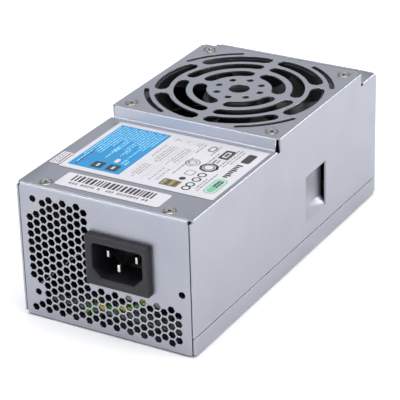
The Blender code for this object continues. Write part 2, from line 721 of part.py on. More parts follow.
def screws():
    for i, (x, y) in enumerate(fan_screw_places(), 1):
        cross_screw(f"fan_screw_{i}", x, y, PLATEAU_HEIGHT - SEAT_DEPTH, 7.5)
    for i, (x, y) in enumerate(COVER_SCREWS, 1):
        cross_screw(f"cover_screw_{i}", x, y, CASE_HEIGHT - SEAT_DEPTH, 5.0)
    for i, (x, y) in enumerate(BOSS_PLACES, 1):
        cross_screw(f"board_screw_{i}", x, y, BOARD_TOP, 5.0, 2.6, 1.2)


# ---------------------------------------------------------------- fan
def fan_frame():
    """Square moulded frame with a round bore, four struts and the motor plate at its lower face."""
    middle = (0.0, FAN_CENTRE_Y, (FAN_TOP + FAN_BOTTOM) / 2)
    edge = rounded_rectangle(FAN_SIZE, FAN_SIZE, 5.0, 3)
    bore = arc(FAN_BORE / 2, 0, 360, 48)[:-1]
    frame = plate("fan_frame", [edge, bore], FAN_DEPTH, middle, BLACK_PLASTIC)
    waist = []
    flange = 3.8
    for k in range(4):
        angle = math.radians(45 + 90 * k)
        spot = 51.52
        half = 8.5
        block = box(f"corner_relief_{k}", (-half, -half, FAN_BOTTOM + flange),
                    (half, half, FAN_TOP - flange), None)
        corner = Vector((spot * math.cos(angle), FAN_CENTRE_Y + spot * math.sin(angle), 0)) * MM
        block.matrix_world = Matrix.Translation(corner) @ Matrix.Rotation(angle, 4, "Z")
        waist.append(block)
    cut(frame, waist)
    arms = []
    for k in range(4):
        angle = math.radians(45 + 90 * k)
        arm = box(f"strut_{k}", (14.9, -1.6, FAN_BOTTOM), (FAN_BORE / 2 + 1.0, 1.6, FAN_BOTTOM + 3.0), None)
        arm.matrix_world = (Matrix.Translation(Vector((0.0, FAN_CENTRE_Y * MM, 0.0)))
                            @ Matrix.Rotation(angle, 4, "Z"))
        arms.append(arm)
    motor_plate = rod("motor_plate", 16.0, 1.6, (0.0, FAN_CENTRE_Y, FAN_BOTTOM), None, sides=32)
    tube = rod("bearing_tube", 5.2, 14.0, (0.0, FAN_CENTRE_Y, FAN_BOTTOM + 0.8), None, sides=20)
    unite(motor_plate, [tube])
    for arm in arms:
        unite(motor_plate, [arm])
    unite(frame, [motor_plate])
    holes = [rod(f"frame_hole_{i}", SCREW_CLEARANCE_RADIUS, FAN_DEPTH + 2.0, (x, y, FAN_BOTTOM - 1.0), None,
                 sides=12) for i, (x, y) in enumerate(fan_screw_places())]
    holes.append(rod("tube_bore", 4.3, 20.0, (0.0, FAN_CENTRE_Y, FAN_BOTTOM + 1.6), None, sides=20))
    cut(frame, holes)
    return frame


def blade(name, angle, root_radius, tip_radius):
    """One pitched, swept blade as a closed solid lofted from root to tip."""
    stations = 4
    across = 4
    thickness = 1.2
    shape = bmesh.new()
    rows = []
    for side in (1, -1):
        for i in range(stations + 1):
            t = i / stations
            radius = root_radius + (tip_radius - root_radius) * t
            chord = math.radians(38 - 4 * t)
            sweep = math.radians(angle + 10 * t * t)
            rise = 14.0
            row = []
            for k in range(across + 1):
                s = k / across
                theta = sweep + chord * (s - 0.5)
                camber = 1.4 * math.sin(math.pi * s)
                z = FAN_BOTTOM + 12.8 + rise * (s - 0.5) + camber + side * thickness / 2
                row.append(shape.verts.new((radius * math.cos(theta),
                                            FAN_CENTRE_Y + radius * math.sin(theta), z)))
            rows.append(row)
    top, under = rows[:stations + 1], rows[stations + 1:]
    for i in range(stations):
        for k in range(across):
            shape.faces.new((top[i][k], top[i + 1][k], top[i + 1][k + 1], top[i][k + 1]))
            shape.faces.new((under[i][k], under[i][k + 1], under[i + 1][k + 1], under[i + 1][k]))
        shape.faces.new((top[i][0], under[i][0], under[i + 1][0], top[i + 1][0]))
        shape.faces.new((top[i][-1], top[i + 1][-1], under[i + 1][-1], under[i][-1]))
    for k in range(across):
        shape.faces.new((top[0][k], top[0][k + 1], under[0][k + 1], under[0][k]))
        shape.faces.new((top[-1][k], under[-1][k], under[-1][k + 1], top[-1][k + 1]))
    bmesh.ops.recalc_face_normals(shape, faces=shape.faces)
    return add_mesh(name, finish_mesh(name, shape), None)


def fan_rotor():
    """Cup-shaped hub, closed at the top, with pitched blades; turns about the fan's centre line."""
    top = FAN_TOP - 2.0
    cup_low = FAN_BOTTOM + 5.0
    profile = [(0.0, top), (HUB_RADIUS - 2.0, top), (HUB_RADIUS, top - 2.0), (HUB_RADIUS, cup_low),
               (HUB_RADIUS - 1.5, cup_low), (HUB_RADIUS - 1.5, top - 2.6), (3.2, top - 2.6), (3.2, top - 5.0),
               (1.7, top - 5.0), (1.7, top - 1.4), (0.0, top - 1.4)]
    rotor = turned("fan_rotor", profile, (0.0, FAN_CENTRE_Y, 0.0), BLACK_PLASTIC, 32)
    blades = [blade(f"blade_{k}", 360 / BLADE_COUNT * k, HUB_RADIUS - 0.8, BLADE_TIP_RADIUS)
              for k in range(BLADE_COUNT)]
    unite(rotor, blades)
    return rotor


def ring_part(name, inner, outer, low, high, centre, surface, steps=28, axis="Z"):
    profile = [(outer, high), (outer, low), (inner, low), (inner, high)]
    return turned(name, profile, centre, surface, steps, axis)


def fan_motor():
    centre = (0.0, FAN_CENTRE_Y, 0.0)
    ring_part("fan_magnet", 13.3, 15.2, FAN_BOTTOM + 7.0, FAN_TOP - 5.2, centre, MAGNET, 32)
    rod("fan_shaft", 1.5, 14.4, (0.0, FAN_CENTRE_Y, FAN_TOP - 3.7 - 14.4), SCREW_STEEL, sides=14)
    ring_part("fan_bearing", 1.8, 4.0, FAN_BOTTOM + 2.2, FAN_BOTTOM + 14.2, centre, BRONZE, 20)
    board = [arc(14.5, 0, 360, 28)[:-1], arc(5.6, 0, 360, 16)[:-1]]
    plate("fan_circuit_board", board, 1.0, (0.0, FAN_CENTRE_Y, FAN_BOTTOM + 2.5), BOARD)
    outline = []
    root, neck, face = 7.0, 9.6, 12.6
    for middle in (0, 90, 180, 270):
        outline += arc(root, middle - 62, middle - 28, 2)
        outline.append(arc(neck, middle - 21, middle, 1)[0])
        outline += arc(face, middle - 34, middle + 34, 6)
        outline.append(arc(neck, middle + 21, middle, 1)[0])
    star = [outline, arc(5.5, 0, 360, 16)[:-1]]
    plate("fan_stator", star, 8.0, (0.0, FAN_CENTRE_Y, FAN_BOTTOM + 11.0), COPPER)


# ---------------------------------------------------------------- board and mains side
def main_board():
    width = 2 * BOARD_HALF_WIDTH
    length = BOARD_REAR_Y - BOARD_FRONT_Y
    middle_y = (BOARD_REAR_Y + BOARD_FRONT_Y) / 2
    edge = rounded_rectangle(width, length, 1.5, 2, (0.0, middle_y))
    holes = [arc(1.6, 0, 360, 12, place)[:-1] for place in BOSS_PLACES]
    plate("main_board", [edge] + holes, BOARD_THICK, (0.0, 0.0, BOARD_BOTTOM + BOARD_THICK / 2), BOARD)
    sheet_edge = rounded_rectangle(width, length + 4.0, 1.0, 2, (0.0, middle_y))
    clear = [arc(3.6, 0, 360, 12, place)[:-1] for place in BOSS_PLACES]
    plate("insulating_sheet", [sheet_edge] + clear, 0.4, (0.0, 0.0, SHEET + GAP + 0.2), INSULATOR)


def mains_leads():
    """Solder-tab leads from the inlet to the board, and the earth lead to its terminal on the base."""
    tab = -HALF_LENGTH + INLET_BODY_DEPTH + 6.0
    live = pin_places()["live_pin"]
    neutral = pin_places()["neutral_pin"]
    earth = pin_places()["earth_pin"]
    start = tab + GAP
    straight = start + 2.5
    wire("live_lead", [(live[0], start, live[1]), (live[0], straight, live[1]),
                       (live[0] + 5.0, start + 6.0, live[1] - 5.0), (live[0] + 12.0, start + 6.0, 24.0),
                       (31.0, start + 6.0, 14.0), (31.0, start + 6.0, ON_BOARD)], 1.1, BROWN)
    wire("neutral_lead", [(neutral[0], start, neutral[1]), (neutral[0], straight, neutral[1]),
                          (neutral[0] - 3.0, start + 5.5, neutral[1] - 6.0),
                          (neutral[0] - 6.5, start + 4.0, 22.0), (-7.5, start + 2.0, 12.0),
                          (-7.5, start + 2.0, ON_BOARD)], 1.1, BLUE)
    wire("earth_lead", [(earth[0], start, earth[1]), (earth[0], straight, earth[1]),
                        (earth[0] + 5.0, start + 3.0, earth[1] - 6.0),
                        (19.0, start - 4.0, 22.5), (15.5, -79.0, 16.0), (8.0, -81.2, 12.6),
                        (-1.5, -82.0, 10.0), (-9.0, -81.8, 9.2), (-13.8, -80.3, 6.8),
                        (EARTH_X + 7.4, EARTH_Y, 2.8)], 1.3, GREEN)
    ring = [arc(3.4, 30, 330, 10) + [(7.0, -1.4), (7.0, 1.4)], arc(1.8, 0, 360, 12)[:-1]]
    plate("earth_terminal", ring, 0.8, (EARTH_X, EARTH_Y, SHEET + GAP + 0.4), BRASS)
    cross_screw("earth_screw", EARTH_X, EARTH_Y, SHEET + GAP + 0.8, 1.7, 2.6, 1.2)


def mains_filter():
    toroid("filter_choke", (6.4, 10.0, 8.0), (-20.0, -56.0, 20.8), 12, "Y")
    box("x_capacitor", (8.5, -65.5, ON_BOARD), (24.0, -56.0, 21.0), TAPE, 0.6)
    rod("fuse", 2.8, 21.0, (-4.0, -69.0, ON_BOARD + 3.0), GLASS, "X", 16)


def toroid(name, core_size, centre, turns, axis):
    """Ring core with a wound sleeve round most of it, ridged where the bundles of wire lie."""
    inner, outer, width = core_size
    wall = 1.6
    ridge = 0.8
    start, end = 30.0, 330.0
    ring_part(f"{name}_core", inner, outer, -width / 2, width / 2, centre, FERRITE, 24, axis)
    outside = []
    inside = []
    for k in range(2 * turns + 1):
        angle = math.radians(start + (end - start) * k / (2 * turns))
        swell = ridge if k % 2 else 0.0
        outside.append(((outer + wall + swell) * math.cos(angle), (outer + wall + swell) * math.sin(angle)))
        inside.append(((inner - wall) * math.cos(angle), (inner - wall) * math.sin(angle)))
    winding = plate(f"{name}_winding", [outside + inside[::-1]], width + 2 * wall, centre, COPPER, axis)
    room = ring_part(f"{name}_room", inner - GAP, outer + GAP, -width / 2 - GAP, width / 2 + GAP, centre,
                     None, 24, axis)
    cut(winding, [room])


def boost_and_primary():
    wound_core("boost_choke", (-24.0, -28.0), (26.0, 12.0, 24.0), 11.0, FERRITE, TAPE)
    profile = [(0.0, 51.0), (10.3, 51.0), (11.0, 50.3), (11.0, ON_BOARD), (0.0, ON_BOARD)]
    turned("bulk_capacitor", profile, (24.0, -38.0, 0.0), SLEEVE, 28)
    heatsink("primary_heatsink", 4.0, -50.0, -14.0, 46.0)
    transistor("primary_transistor", 4.0 - GAP, -44.0, -1)
    box("bridge_rectifier", (7.0 + GAP, -32.0, 20.0), (10.6, -14.0, 36.0), CHIP, 0.5)


def heatsink(name, x, near, far, top):
    """Upright plate with a top flange folded over and cooling slots cut between its fingers."""
    thick = 3.0
    reach = 13.0
    outline = [(x, ON_BOARD), (x + thick, ON_BOARD), (x + thick, top), (x - reach, top),
               (x - reach, top - 2.0), (x, top - 2.0)]
    middle_y = (near + far) / 2
    # plate() facing Y maps its second axis to -Z
    part = plate(name, [[(u, -v) for u, v in outline]], far - near, (0.0, middle_y, 0.0), ALUMINIUM, "Y")
    slots = []
    count = int((far - near) // 6) - 1
    for k in range(count):
        y = near + (far - near) * (k + 1) / (count + 1)
        slots.append(box(f"{name}_slot_{k}", (x - reach - 1.0, y - 1.0, top - 5.0),
                         (x - 3.0, y + 1.0, top + 1.0), None))
    cut(part, slots)
    return part


def transistor(name, face_x, y, side):
    """Flat power package held against a heatsink face."""
    thick = 4.4
    low = ON_BOARD + 5.0
    xs = sorted((face_x, face_x + side * thick))
    box(name, (xs[0], y - 5.1, low), (xs[1], y + 5.1, low + 15.5), CHIP, 0.5)


# ---------------------------------------------------------------- transformers and output side
def wound_core(name, centre, size, bobbin_radius, core_surface, wrap_surface):
    """E-shaped core pair as a window frame with the taped winding passing through its window."""
    x, y = centre
    width, depth, height = size
    low = ON_BOARD + 2.0
    high = low + height
    leg = width * 0.16
    core = box(f"{name}_core", (x - width / 2, y - depth / 2, low), (x + width / 2, y + depth / 2, high),
               core_surface, 0.4)
    window = box(f"{name}_window", (x - width / 2 + leg, y - depth / 2 - 2.0, low + leg),
                 (x + width / 2 - leg, y + depth / 2 + 2.0, high - leg), None)
    cut(core, [window])
    half = width / 2 - leg - GAP
    box(f"{name}_winding", (x - half, y - bobbin_radius, low + leg + GAP),
        (x + half, y + bobbin_radius, high - leg - GAP), wrap_surface, 1.5, 2)


def transformers():
    wound_core("main_transformer", (18.0, 10.0), (35.0, 14.0, 28.0), 13.0, FERRITE, TAPE)
    wound_core("standby_transformer", (-26.0, 2.0), (19.0, 9.0, 17.0), 8.0, FERRITE, TAPE)


def output_side():
    heatsink("secondary_heatsink", 10.0, 30.0, 66.0, 38.0)
    transistor("output_rectifier", 13.0 + GAP, 44.0, 1)
    toroid("output_choke", (8.2, 13.2, 10.0), (-21.0, 28.0, ON_BOARD + 7.0), 14, "Z")
    places = [(-31.0, 53.0), (-18.0, 53.0), (-31.0, 66.0)]
    for i, (x, y) in enumerate(places, 1):
        height = 22.0
        profile = [(0.0, ON_BOARD + height), (4.5, ON_BOARD + height), (5.0, ON_BOARD + height - 0.5),
                   (5.0, ON_BOARD), (0.0, ON_BOARD)]
        turned(f"output_capacitor_{i}", profile, (x, y, 0.0), SLEEVE, 20)
    box("control_board", (30.0, 26.0, ON_BOARD), (31.2, 60.0, 34.0), BOARD)


def fan_leads():
    """Two thin leads from the motor board under a strut down to the main board."""
    pad_x, pad_y = -34.0, 14.0
    for name, shift, surface in (("fan_lead_red", 1.25, RED), ("fan_lead_black", -1.25, BLACK_WIRE)):
        wire(name, [(-16.5, FAN_CENTRE_Y - 6.0 + shift, FAN_BOTTOM + 1.0),
                    (-22.0, FAN_CENTRE_Y - 8.0 + shift, FAN_BOTTOM - 2.0),
                    (-33.0, FAN_CENTRE_Y - 12.0 + shift, FAN_BOTTOM - 6.0),
                    (pad_x, pad_y + shift, 28.0), (pad_x, pad_y + shift, ON_BOARD)], 0.7, surface)


def cable_grommet():
    """Moulded bush clipped in the rear panel, with a lip on each side of the sheet."""
    outer = HALF_LENGTH
    inner = HALF_LENGTH - SHEET
    lip = GROMMET_HOLE_RADIUS + 1.8
    neck = GROMMET_HOLE_RADIUS - GAP
    bore = GROMMET_BORE_RADIUS
    out = outer + GROMMET_PROUD
    # turned about Y: heights run along +Y
    profile = [(bore, out), (bore + 1.0, out), (lip, out - 1.2), (lip, outer + GAP), (neck, outer + GAP),
               (neck, inner - GAP), (lip - 0.6, inner - GAP), (lip - 1.6, inner - GAP - 2.0),
               (bore, inner - GAP - 2.0)]
    turned("cable_grommet", profile, (GROMMET_X, 0.0, GROMMET_Z), BLACK_PLASTIC, 24, "Y")


base_tray()
top_cover()
inlet_housing()
inlet_pins()
labels()
screws()
fan_frame()
fan_rotor()
fan_motor()
main_board()
mains_leads()
mains_filter()
boost_and_primary()
transformers()
output_side()
fan_leads()
cable_grommet()
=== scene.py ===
import math
import random

import bmesh
import bpy
from mathutils import Matrix, Vector
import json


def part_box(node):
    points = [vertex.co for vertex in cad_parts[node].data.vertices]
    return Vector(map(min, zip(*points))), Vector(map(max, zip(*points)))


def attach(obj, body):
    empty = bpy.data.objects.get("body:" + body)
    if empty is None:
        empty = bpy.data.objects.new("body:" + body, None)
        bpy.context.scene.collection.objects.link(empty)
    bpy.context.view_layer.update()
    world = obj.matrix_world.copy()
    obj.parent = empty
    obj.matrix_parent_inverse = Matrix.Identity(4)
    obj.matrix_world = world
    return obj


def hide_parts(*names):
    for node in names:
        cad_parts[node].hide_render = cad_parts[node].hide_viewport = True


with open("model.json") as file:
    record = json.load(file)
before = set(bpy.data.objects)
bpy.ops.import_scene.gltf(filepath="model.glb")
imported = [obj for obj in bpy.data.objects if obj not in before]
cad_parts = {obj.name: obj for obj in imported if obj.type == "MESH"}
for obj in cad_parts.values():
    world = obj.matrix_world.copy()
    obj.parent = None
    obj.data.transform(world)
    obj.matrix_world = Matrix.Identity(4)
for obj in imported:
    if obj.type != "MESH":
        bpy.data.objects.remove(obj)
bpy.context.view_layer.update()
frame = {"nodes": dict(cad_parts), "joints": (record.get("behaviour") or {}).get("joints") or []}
nodes = frame["nodes"]
MM = 0.001


# ---------------- studio
# A pale floor that runs far back, one large soft overhead light, a cool fill from the front
# and a neutral one from the right, and a long-lens camera above the inlet end's right corner.
def add_piece(name, data):
    """Object that holds some data, linked into the scene."""
    piece = bpy.data.objects.new(name, data)
    bpy.context.scene.collection.objects.link(piece)
    return piece


def mesh_of(name, shape):
    """Plain mesh of a finished bmesh, which is freed."""
    mesh = bpy.data.meshes.new(name)
    shape.to_mesh(mesh)
    shape.free()
    return mesh


def soft_light(name, place, target, size, power, colour):
    lamp = bpy.data.lights.new(name, "AREA")
    lamp.shape = "RECTANGLE"
    lamp.size, lamp.size_y = size
    lamp.energy = power
    lamp.color = colour
    holder = add_piece(name, lamp)
    holder.location = place
    holder.rotation_euler = (Vector(target) - Vector(place)).to_track_quat("-Z", "Y").to_euler()


def pale_floor():
    reach = 6.0
    drop = 0.0004
    shape = bmesh.new()
    bmesh.ops.create_grid(shape, x_segments=1, y_segments=1, size=reach,
                          matrix=Matrix.Translation((0.0, 0.0, -drop)))
    paint = bpy.data.materials.new("floor_paint")
    paint.use_nodes = True
    shader = paint.node_tree.nodes["Principled BSDF"]
    shader.inputs["Base Color"].default_value = (0.92, 0.92, 0.93, 1.0)
    shader.inputs["Roughness"].default_value = 0.9
    shader.inputs["Specular IOR Level"].default_value = 0.1
    floor = add_piece("floor", mesh_of("floor", shape))
    floor.data.materials.append(paint)


def studio_world():
    world = bpy.data.worlds.new("studio")
    world.use_nodes = True
    sky = world.node_tree.nodes["Background"]
    sky.inputs["Color"].default_value = (0.88, 0.93, 1.0, 1.0)
    sky.inputs["Strength"].default_value = 0.40
    bpy.context.scene.world = world


def long_lens_camera():
    azimuth = math.radians(30.54)
    elevation = math.radians(26.26)
    roll = math.radians(-1.71)
    distance = 0.86909
    target = Vector((-0.00449, 0.0, 0.02445))
    back = Vector((math.sin(azimuth) * math.cos(elevation), -math.cos(azimuth) * math.cos(elevation),
                   math.sin(elevation)))
    level = Vector((0.0, 0.0, 1.0)).cross(back).normalized()
    upright = back.cross(level)
    across = level * math.cos(roll) + upright * math.sin(roll)
    up = upright * math.cos(roll) - level * math.sin(roll)
    lens = bpy.data.cameras.new("camera")
    lens.sensor_width = 36.0
    lens.lens = 171.41
    camera = add_piece("camera", lens)
    place = target + back * distance
    camera.matrix_world = Matrix((
        (across.x, up.x, back.x, place.x),
        (across.y, up.y, back.y, place.y),
        (across.z, up.z, back.z, place.z),
        (0.0, 0.0, 0.0, 1.0)))
    bpy.context.scene.camera = camera


pale_floor()
studio_world()
long_lens_camera()
soft_light("overhead", (0.1, -0.1, 1.6), (0.0, 0.0, 0.0), (1.5, 1.5), 22.0, (1.0, 0.99, 0.97))
soft_light("right_fill", (1.6, 0.1, 0.5), (0.0, 0.0, 0.03), (1.2, 0.6), 15.0, (1.0, 0.985, 0.95))
soft_light("right_strip", (1.0, 1.3, 0.5), (0.0, 0.0, 0.05), (0.5, 1.0), 12.0, (1.0, 0.985, 0.95))
soft_light("front_strip", (-0.8, -1.5, 0.3), (0.0, 0.0, 0.05), (0.5, 0.4), 4.5, (0.88, 0.93, 1.0))
soft_light("back_sheen", (-0.95, 1.6, 0.9), (0.0, 0.0, 0.06), (1.3, 0.7), 2.1, (1.0, 1.0, 1.0))
soft_light("left_strip", (-0.8, -0.78, 1.36), (0.0, 0.0, 0.05), (0.4, 0.4), 7.0, (1.0, 0.99, 0.97))
bpy.context.scene.view_settings.view_transform = "Standard"


# ---------------- folded steel case
# The tray (bottom, both ends) and the cover (top, sides, fan plateau) are 0.8 mm zinc-plated steel,
# punched flat and then folded. Their plating is satin with a fine grain; a painted highlight lightens
# their edges and a painted shade darkens their seams and nooks.
def value_group(name, inputs, outputs):
    """Empty shader node group with named number inputs and typed outputs."""
    group = bpy.data.node_groups.new(name, "ShaderNodeTree")
    for label, value in inputs.items():
        socket = group.interface.new_socket(label, in_out="INPUT", socket_type="NodeSocketFloat")
        socket.default_value = value
    for label, kind in outputs.items():
        group.interface.new_socket(label, in_out="OUTPUT", socket_type=kind)
    return group, group.nodes.new("NodeGroupInput"), group.nodes.new("NodeGroupOutput")


def join(tree, source, target):
    """Feed a node's socket from another socket or from a plain value."""
    if isinstance(source, bpy.types.NodeSocket):
        tree.links.new(source, target)
    else:
        target.default_value = source


def add_node(tree, kind, **inputs):
    """Node whose named inputs are fed from sockets or plain values."""
    node = tree.nodes.new(kind)
    for label, value in inputs.items():
        join(tree, value, node.inputs[label.replace("_", " ")])
    return node


def number(tree, operation, first, second):
    """Math node between two values, each a socket or a plain number."""
    node = tree.nodes.new("ShaderNodeMath")
    node.operation = operation
    join(tree, first, node.inputs[0])
    join(tree, second, node.inputs[1])
    return node.outputs[0]


def surface_grain():
    """Cloudy tone, roughness change and height of a worked surface, from Object coordinates."""
    group, given, out = value_group(
        "surface_grain", {"Cloud Scale": 40.0, "Grain Scale": 900.0, "Stretch": 1.0},
        {"Tone": "NodeSocketFloat", "Height": "NodeSocketFloat"})
    place = group.nodes.new("ShaderNodeTexCoord").outputs["Object"]
    sizes = add_node(group, "ShaderNodeCombineXYZ", X=1.0, Y=given.outputs["Stretch"], Z=1.0)
    stretched = add_node(group, "ShaderNodeMapping", Vector=place, Scale=sizes.outputs[0])
    cloud = add_node(group, "ShaderNodeTexNoise", Vector=place, Scale=given.outputs["Cloud Scale"],
                     Detail=4.0, Roughness=0.55).outputs["Fac"]
    grain = add_node(group, "ShaderNodeTexNoise", Vector=stretched.outputs[0],
                     Scale=given.outputs["Grain Scale"], Detail=2.0, Roughness=0.6).outputs["Fac"]
    cloud_share = number(group, "MULTIPLY", cloud, 0.65)
    grain_share = number(group, "MULTIPLY", grain, 0.35)
    join(group, number(group, "ADD", cloud_share, grain_share), out.inputs["Tone"])
    join(group, grain, out.inputs["Height"])
    return group


def rubbed_edges():
    """Mask of corners and cut edges, which take a lighter colour as painted highlight, and the normal that
    rounds them, for sheet and plastic alike.
    """
    group, given, out = value_group("rubbed_edges", {"Radius": 0.0003, "Gain": 6.0},
                                    {"Mask": "NodeSocketFloat", "Normal": "NodeSocketVector"})
    soft = add_node(group, "ShaderNodeBevel", Radius=given.outputs["Radius"])
    soft.samples = 4
    flat = group.nodes.new("ShaderNodeNewGeometry")
    likeness = group.nodes.new("ShaderNodeVectorMath")
    likeness.operation = "DOT_PRODUCT"
    join(group, soft.outputs[0], likeness.inputs[0])
    join(group, flat.outputs["Normal"], likeness.inputs[1])
    turned = number(group, "SUBTRACT", 1.0, likeness.outputs["Value"])
    mask = number(group, "MULTIPLY", turned, given.outputs["Gain"])
    join(group, number(group, "MINIMUM", mask, 1.0), out.inputs["Mask"])
    join(group, soft.outputs[0], out.inputs["Normal"])
    return group


def settled_grime():
    """Mask of nooks, such as seams, screw seats and cross recesses, which are darkened by occlusion as
    painted shade.
    """
    group, given, out = value_group("settled_grime", {"Reach": 0.0008, "Strength": 0.8},
                                    {"Mask": "NodeSocketFloat"})
    nook = add_node(group, "ShaderNodeAmbientOcclusion", Distance=given.outputs["Reach"])
    nook.samples = 4
    nook.only_local = True
    shut = number(group, "SUBTRACT", 1.0, nook.outputs["AO"])
    join(group, number(group, "MULTIPLY", shut, given.outputs["Strength"]), out.inputs["Mask"])
    return group


GRAIN = surface_grain()
EDGE_ROUND_AND_HIGHLIGHT = rubbed_edges()
NOOK_SHADE_GROUP = settled_grime()


def add_group(tree, group, **values):
    node = tree.nodes.new("ShaderNodeGroup")
    node.node_tree = group
    for label, value in values.items():
        join(tree, value, node.inputs[label.replace("_", " ")])
    return node


def blend_colours(tree, factor, first, second):
    """Mix of two colours, each a socket or a plain triple."""
    node = tree.nodes.new("ShaderNodeMix")
    node.data_type = "RGBA"
    node.clamp_factor = True
    join(tree, factor, node.inputs["Factor"])
    for socket, value in ((node.inputs[6], first), (node.inputs[7], second)):
        join(tree, (*value, 1.0) if isinstance(value, tuple) else value, socket)
    return node.outputs[2]


def spread(tree, value, low, high):
    """Noise value, which keeps near its middle, moved to run from low to high."""
    node = add_node(tree, "ShaderNodeMapRange", Value=value, From_Min=0.3, From_Max=0.7, To_Min=low,
                    To_Max=high)
    return node.outputs["Result"]


# Colour of the painted shade laid into nooks by occlusion.
NOOK_SHADE_COLOUR = (0.02, 0.018, 0.016)


def worked_finish(name, dark, light, rough, metallic=0.0, cloud=40.0, grain=900.0, stretch=1.0,
                  bump=0.00002, edge=None, edge_radius=0.0003, nook_shade_strength=0.0, grime_reach=0.0008, coat=0.0,
                  specular=0.5):
    """Material whose tone, roughness and relief vary, with a painted highlight on edges and painted shade in
    nooks where they are given.
    """
    made = bpy.data.materials.new(name)
    made.use_nodes = True
    tree = made.node_tree
    shader = tree.nodes["Principled BSDF"]
    shader.inputs["Metallic"].default_value = metallic
    shader.inputs["Specular IOR Level"].default_value = specular
    shader.inputs["Coat Weight"].default_value = coat
    pattern = add_group(tree, GRAIN, Cloud_Scale=cloud, Grain_Scale=grain, Stretch=stretch)
    tone = pattern.outputs["Tone"]
    colour = blend_colours(tree, spread(tree, tone, 0.0, 1.0), dark, light)
    roughness = spread(tree, tone, rough[0], rough[1])
    relief = add_node(tree, "ShaderNodeBump", Distance=bump, Strength=1.0, Height=pattern.outputs["Height"])
    if edge is not None:
        # Edges and corners are lightened in colour as painted highlight; the bevel normal rounds them.
        edge_lit = add_group(tree, EDGE_ROUND_AND_HIGHLIGHT, Radius=edge_radius)
        colour = blend_colours(tree, edge_lit.outputs["Mask"], colour, edge)
        join(tree, edge_lit.outputs["Normal"], relief.inputs["Normal"])
    if nook_shade_strength > 0.0:
        # Darken nooks towards the shade colour: painted shade.
        shade_mask = add_group(tree, NOOK_SHADE_GROUP, Reach=grime_reach, Strength=nook_shade_strength)
        colour = blend_colours(tree, shade_mask.outputs["Mask"], colour, NOOK_SHADE_COLOUR)
    join(tree, colour, shader.inputs["Base Color"])
    join(tree, roughness, shader.inputs["Roughness"])
    join(tree, relief.outputs["Normal"], shader.inputs["Normal"])
    return made


def settled_mesh(piece):
    """Plain mesh of a piece as its modifiers leave it."""
    bpy.context.view_layer.update()
    return bpy.data.meshes.new_from_object(piece.evaluated_get(bpy.context.evaluated_depsgraph_get()))


def weigh_normals(piece, angle):
    """Keep large flat faces flat while the small bend faces between them shade round."""
    piece.data.shade_smooth()
    piece.data.set_sharp_from_angle(angle=math.radians(angle))
    modifier = piece.modifiers.new("weighted", "WEIGHTED_NORMAL")
    modifier.keep_sharp = True
    modifier.weight = 100
    mesh = settled_mesh(piece)
    piece.modifiers.remove(modifier)
    piece.data = mesh


def place_piece(piece, finish, body, replaced, angle=35):
    """Shade, ride and replace a finished piece, with the finish as its material."""
    piece.data.materials.clear()
    piece.data.materials.append(finish)
    weigh_normals(piece, angle)
    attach(piece, body)
    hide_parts(*replaced)


def place_copy(node, finish, body="case"):
    """Finished copy of a CAD node, its corners merged and flat areas joined so that it can shade smooth."""
    weld = 0.000002
    flat = math.radians(0.5)
    shape = bmesh.new()
    shape.from_mesh(nodes[node].data)
    bmesh.ops.remove_doubles(shape, verts=shape.verts, dist=weld)
    bmesh.ops.dissolve_limit(shape, angle_limit=flat, verts=shape.verts, edges=shape.edges)
    bmesh.ops.triangulate(shape, faces=[f for f in shape.faces if len(f.verts) > 4])
    name = f"{node}_finished"
    place_piece(add_piece(name, mesh_of(name, shape)), finish, body, [node])


# Lighter edges are painted highlight; darker seams, screw seats and nooks are painted shade.
zinc_plate = worked_finish(
    "zinc_plate", (0.345, 0.356, 0.405), (0.395, 0.406, 0.455), (0.32, 0.44), metallic=1.0, cloud=55.0,
    grain=1500.0, bump=0.00001, edge=(0.50, 0.51, 0.54), edge_radius=0.00025, nook_shade_strength=0.7,
    grime_reach=0.0006)
for sheet in ("base_tray", "top_cover"):
    place_copy(sheet, zinc_plate)


# ---------------- screws
# Pan-head machine screws with a pressed cross recess, bright nickel plate over steel. Each sits turned
# as its driver left it. One blank is placed on the points where the CAD screws stand.
def skin(shape, rings):
    """Faces between each ring of corners and the next."""
    for first, second in zip(rings, rings[1:]):
        for k in range(len(first)):
            following = (k + 1) % len(first)
            shape.faces.new((first[k], first[following], second[following], second[k]))


def closed_mesh(name, shape):
    bmesh.ops.recalc_face_normals(shape, faces=shape.faces)
    return mesh_of(name, shape)


def turned_mesh(name, profile, steps):
    """Mesh of a profile of (radius, height) pairs turned about Z."""
    weld = 0.000001
    shape = bmesh.new()
    turns = [2 * math.pi * k / steps for k in range(steps)]
    skin(shape, [[shape.verts.new((radius * math.cos(t), radius * math.sin(t), height)) for t in turns]
                 for radius, height in profile])
    bmesh.ops.remove_doubles(shape, verts=shape.verts, dist=weld)
    return closed_mesh(name, shape)


def carve(piece, cutter):
    """Cut one finished shape out of another and drop the cutter."""
    taken = piece.modifiers.new("carve", "BOOLEAN")
    taken.operation = "DIFFERENCE"
    taken.object = cutter
    taken.use_self = True
    mesh = settled_mesh(piece)
    piece.modifiers.clear()
    piece.data = mesh
    bpy.data.objects.remove(cutter)
    return piece


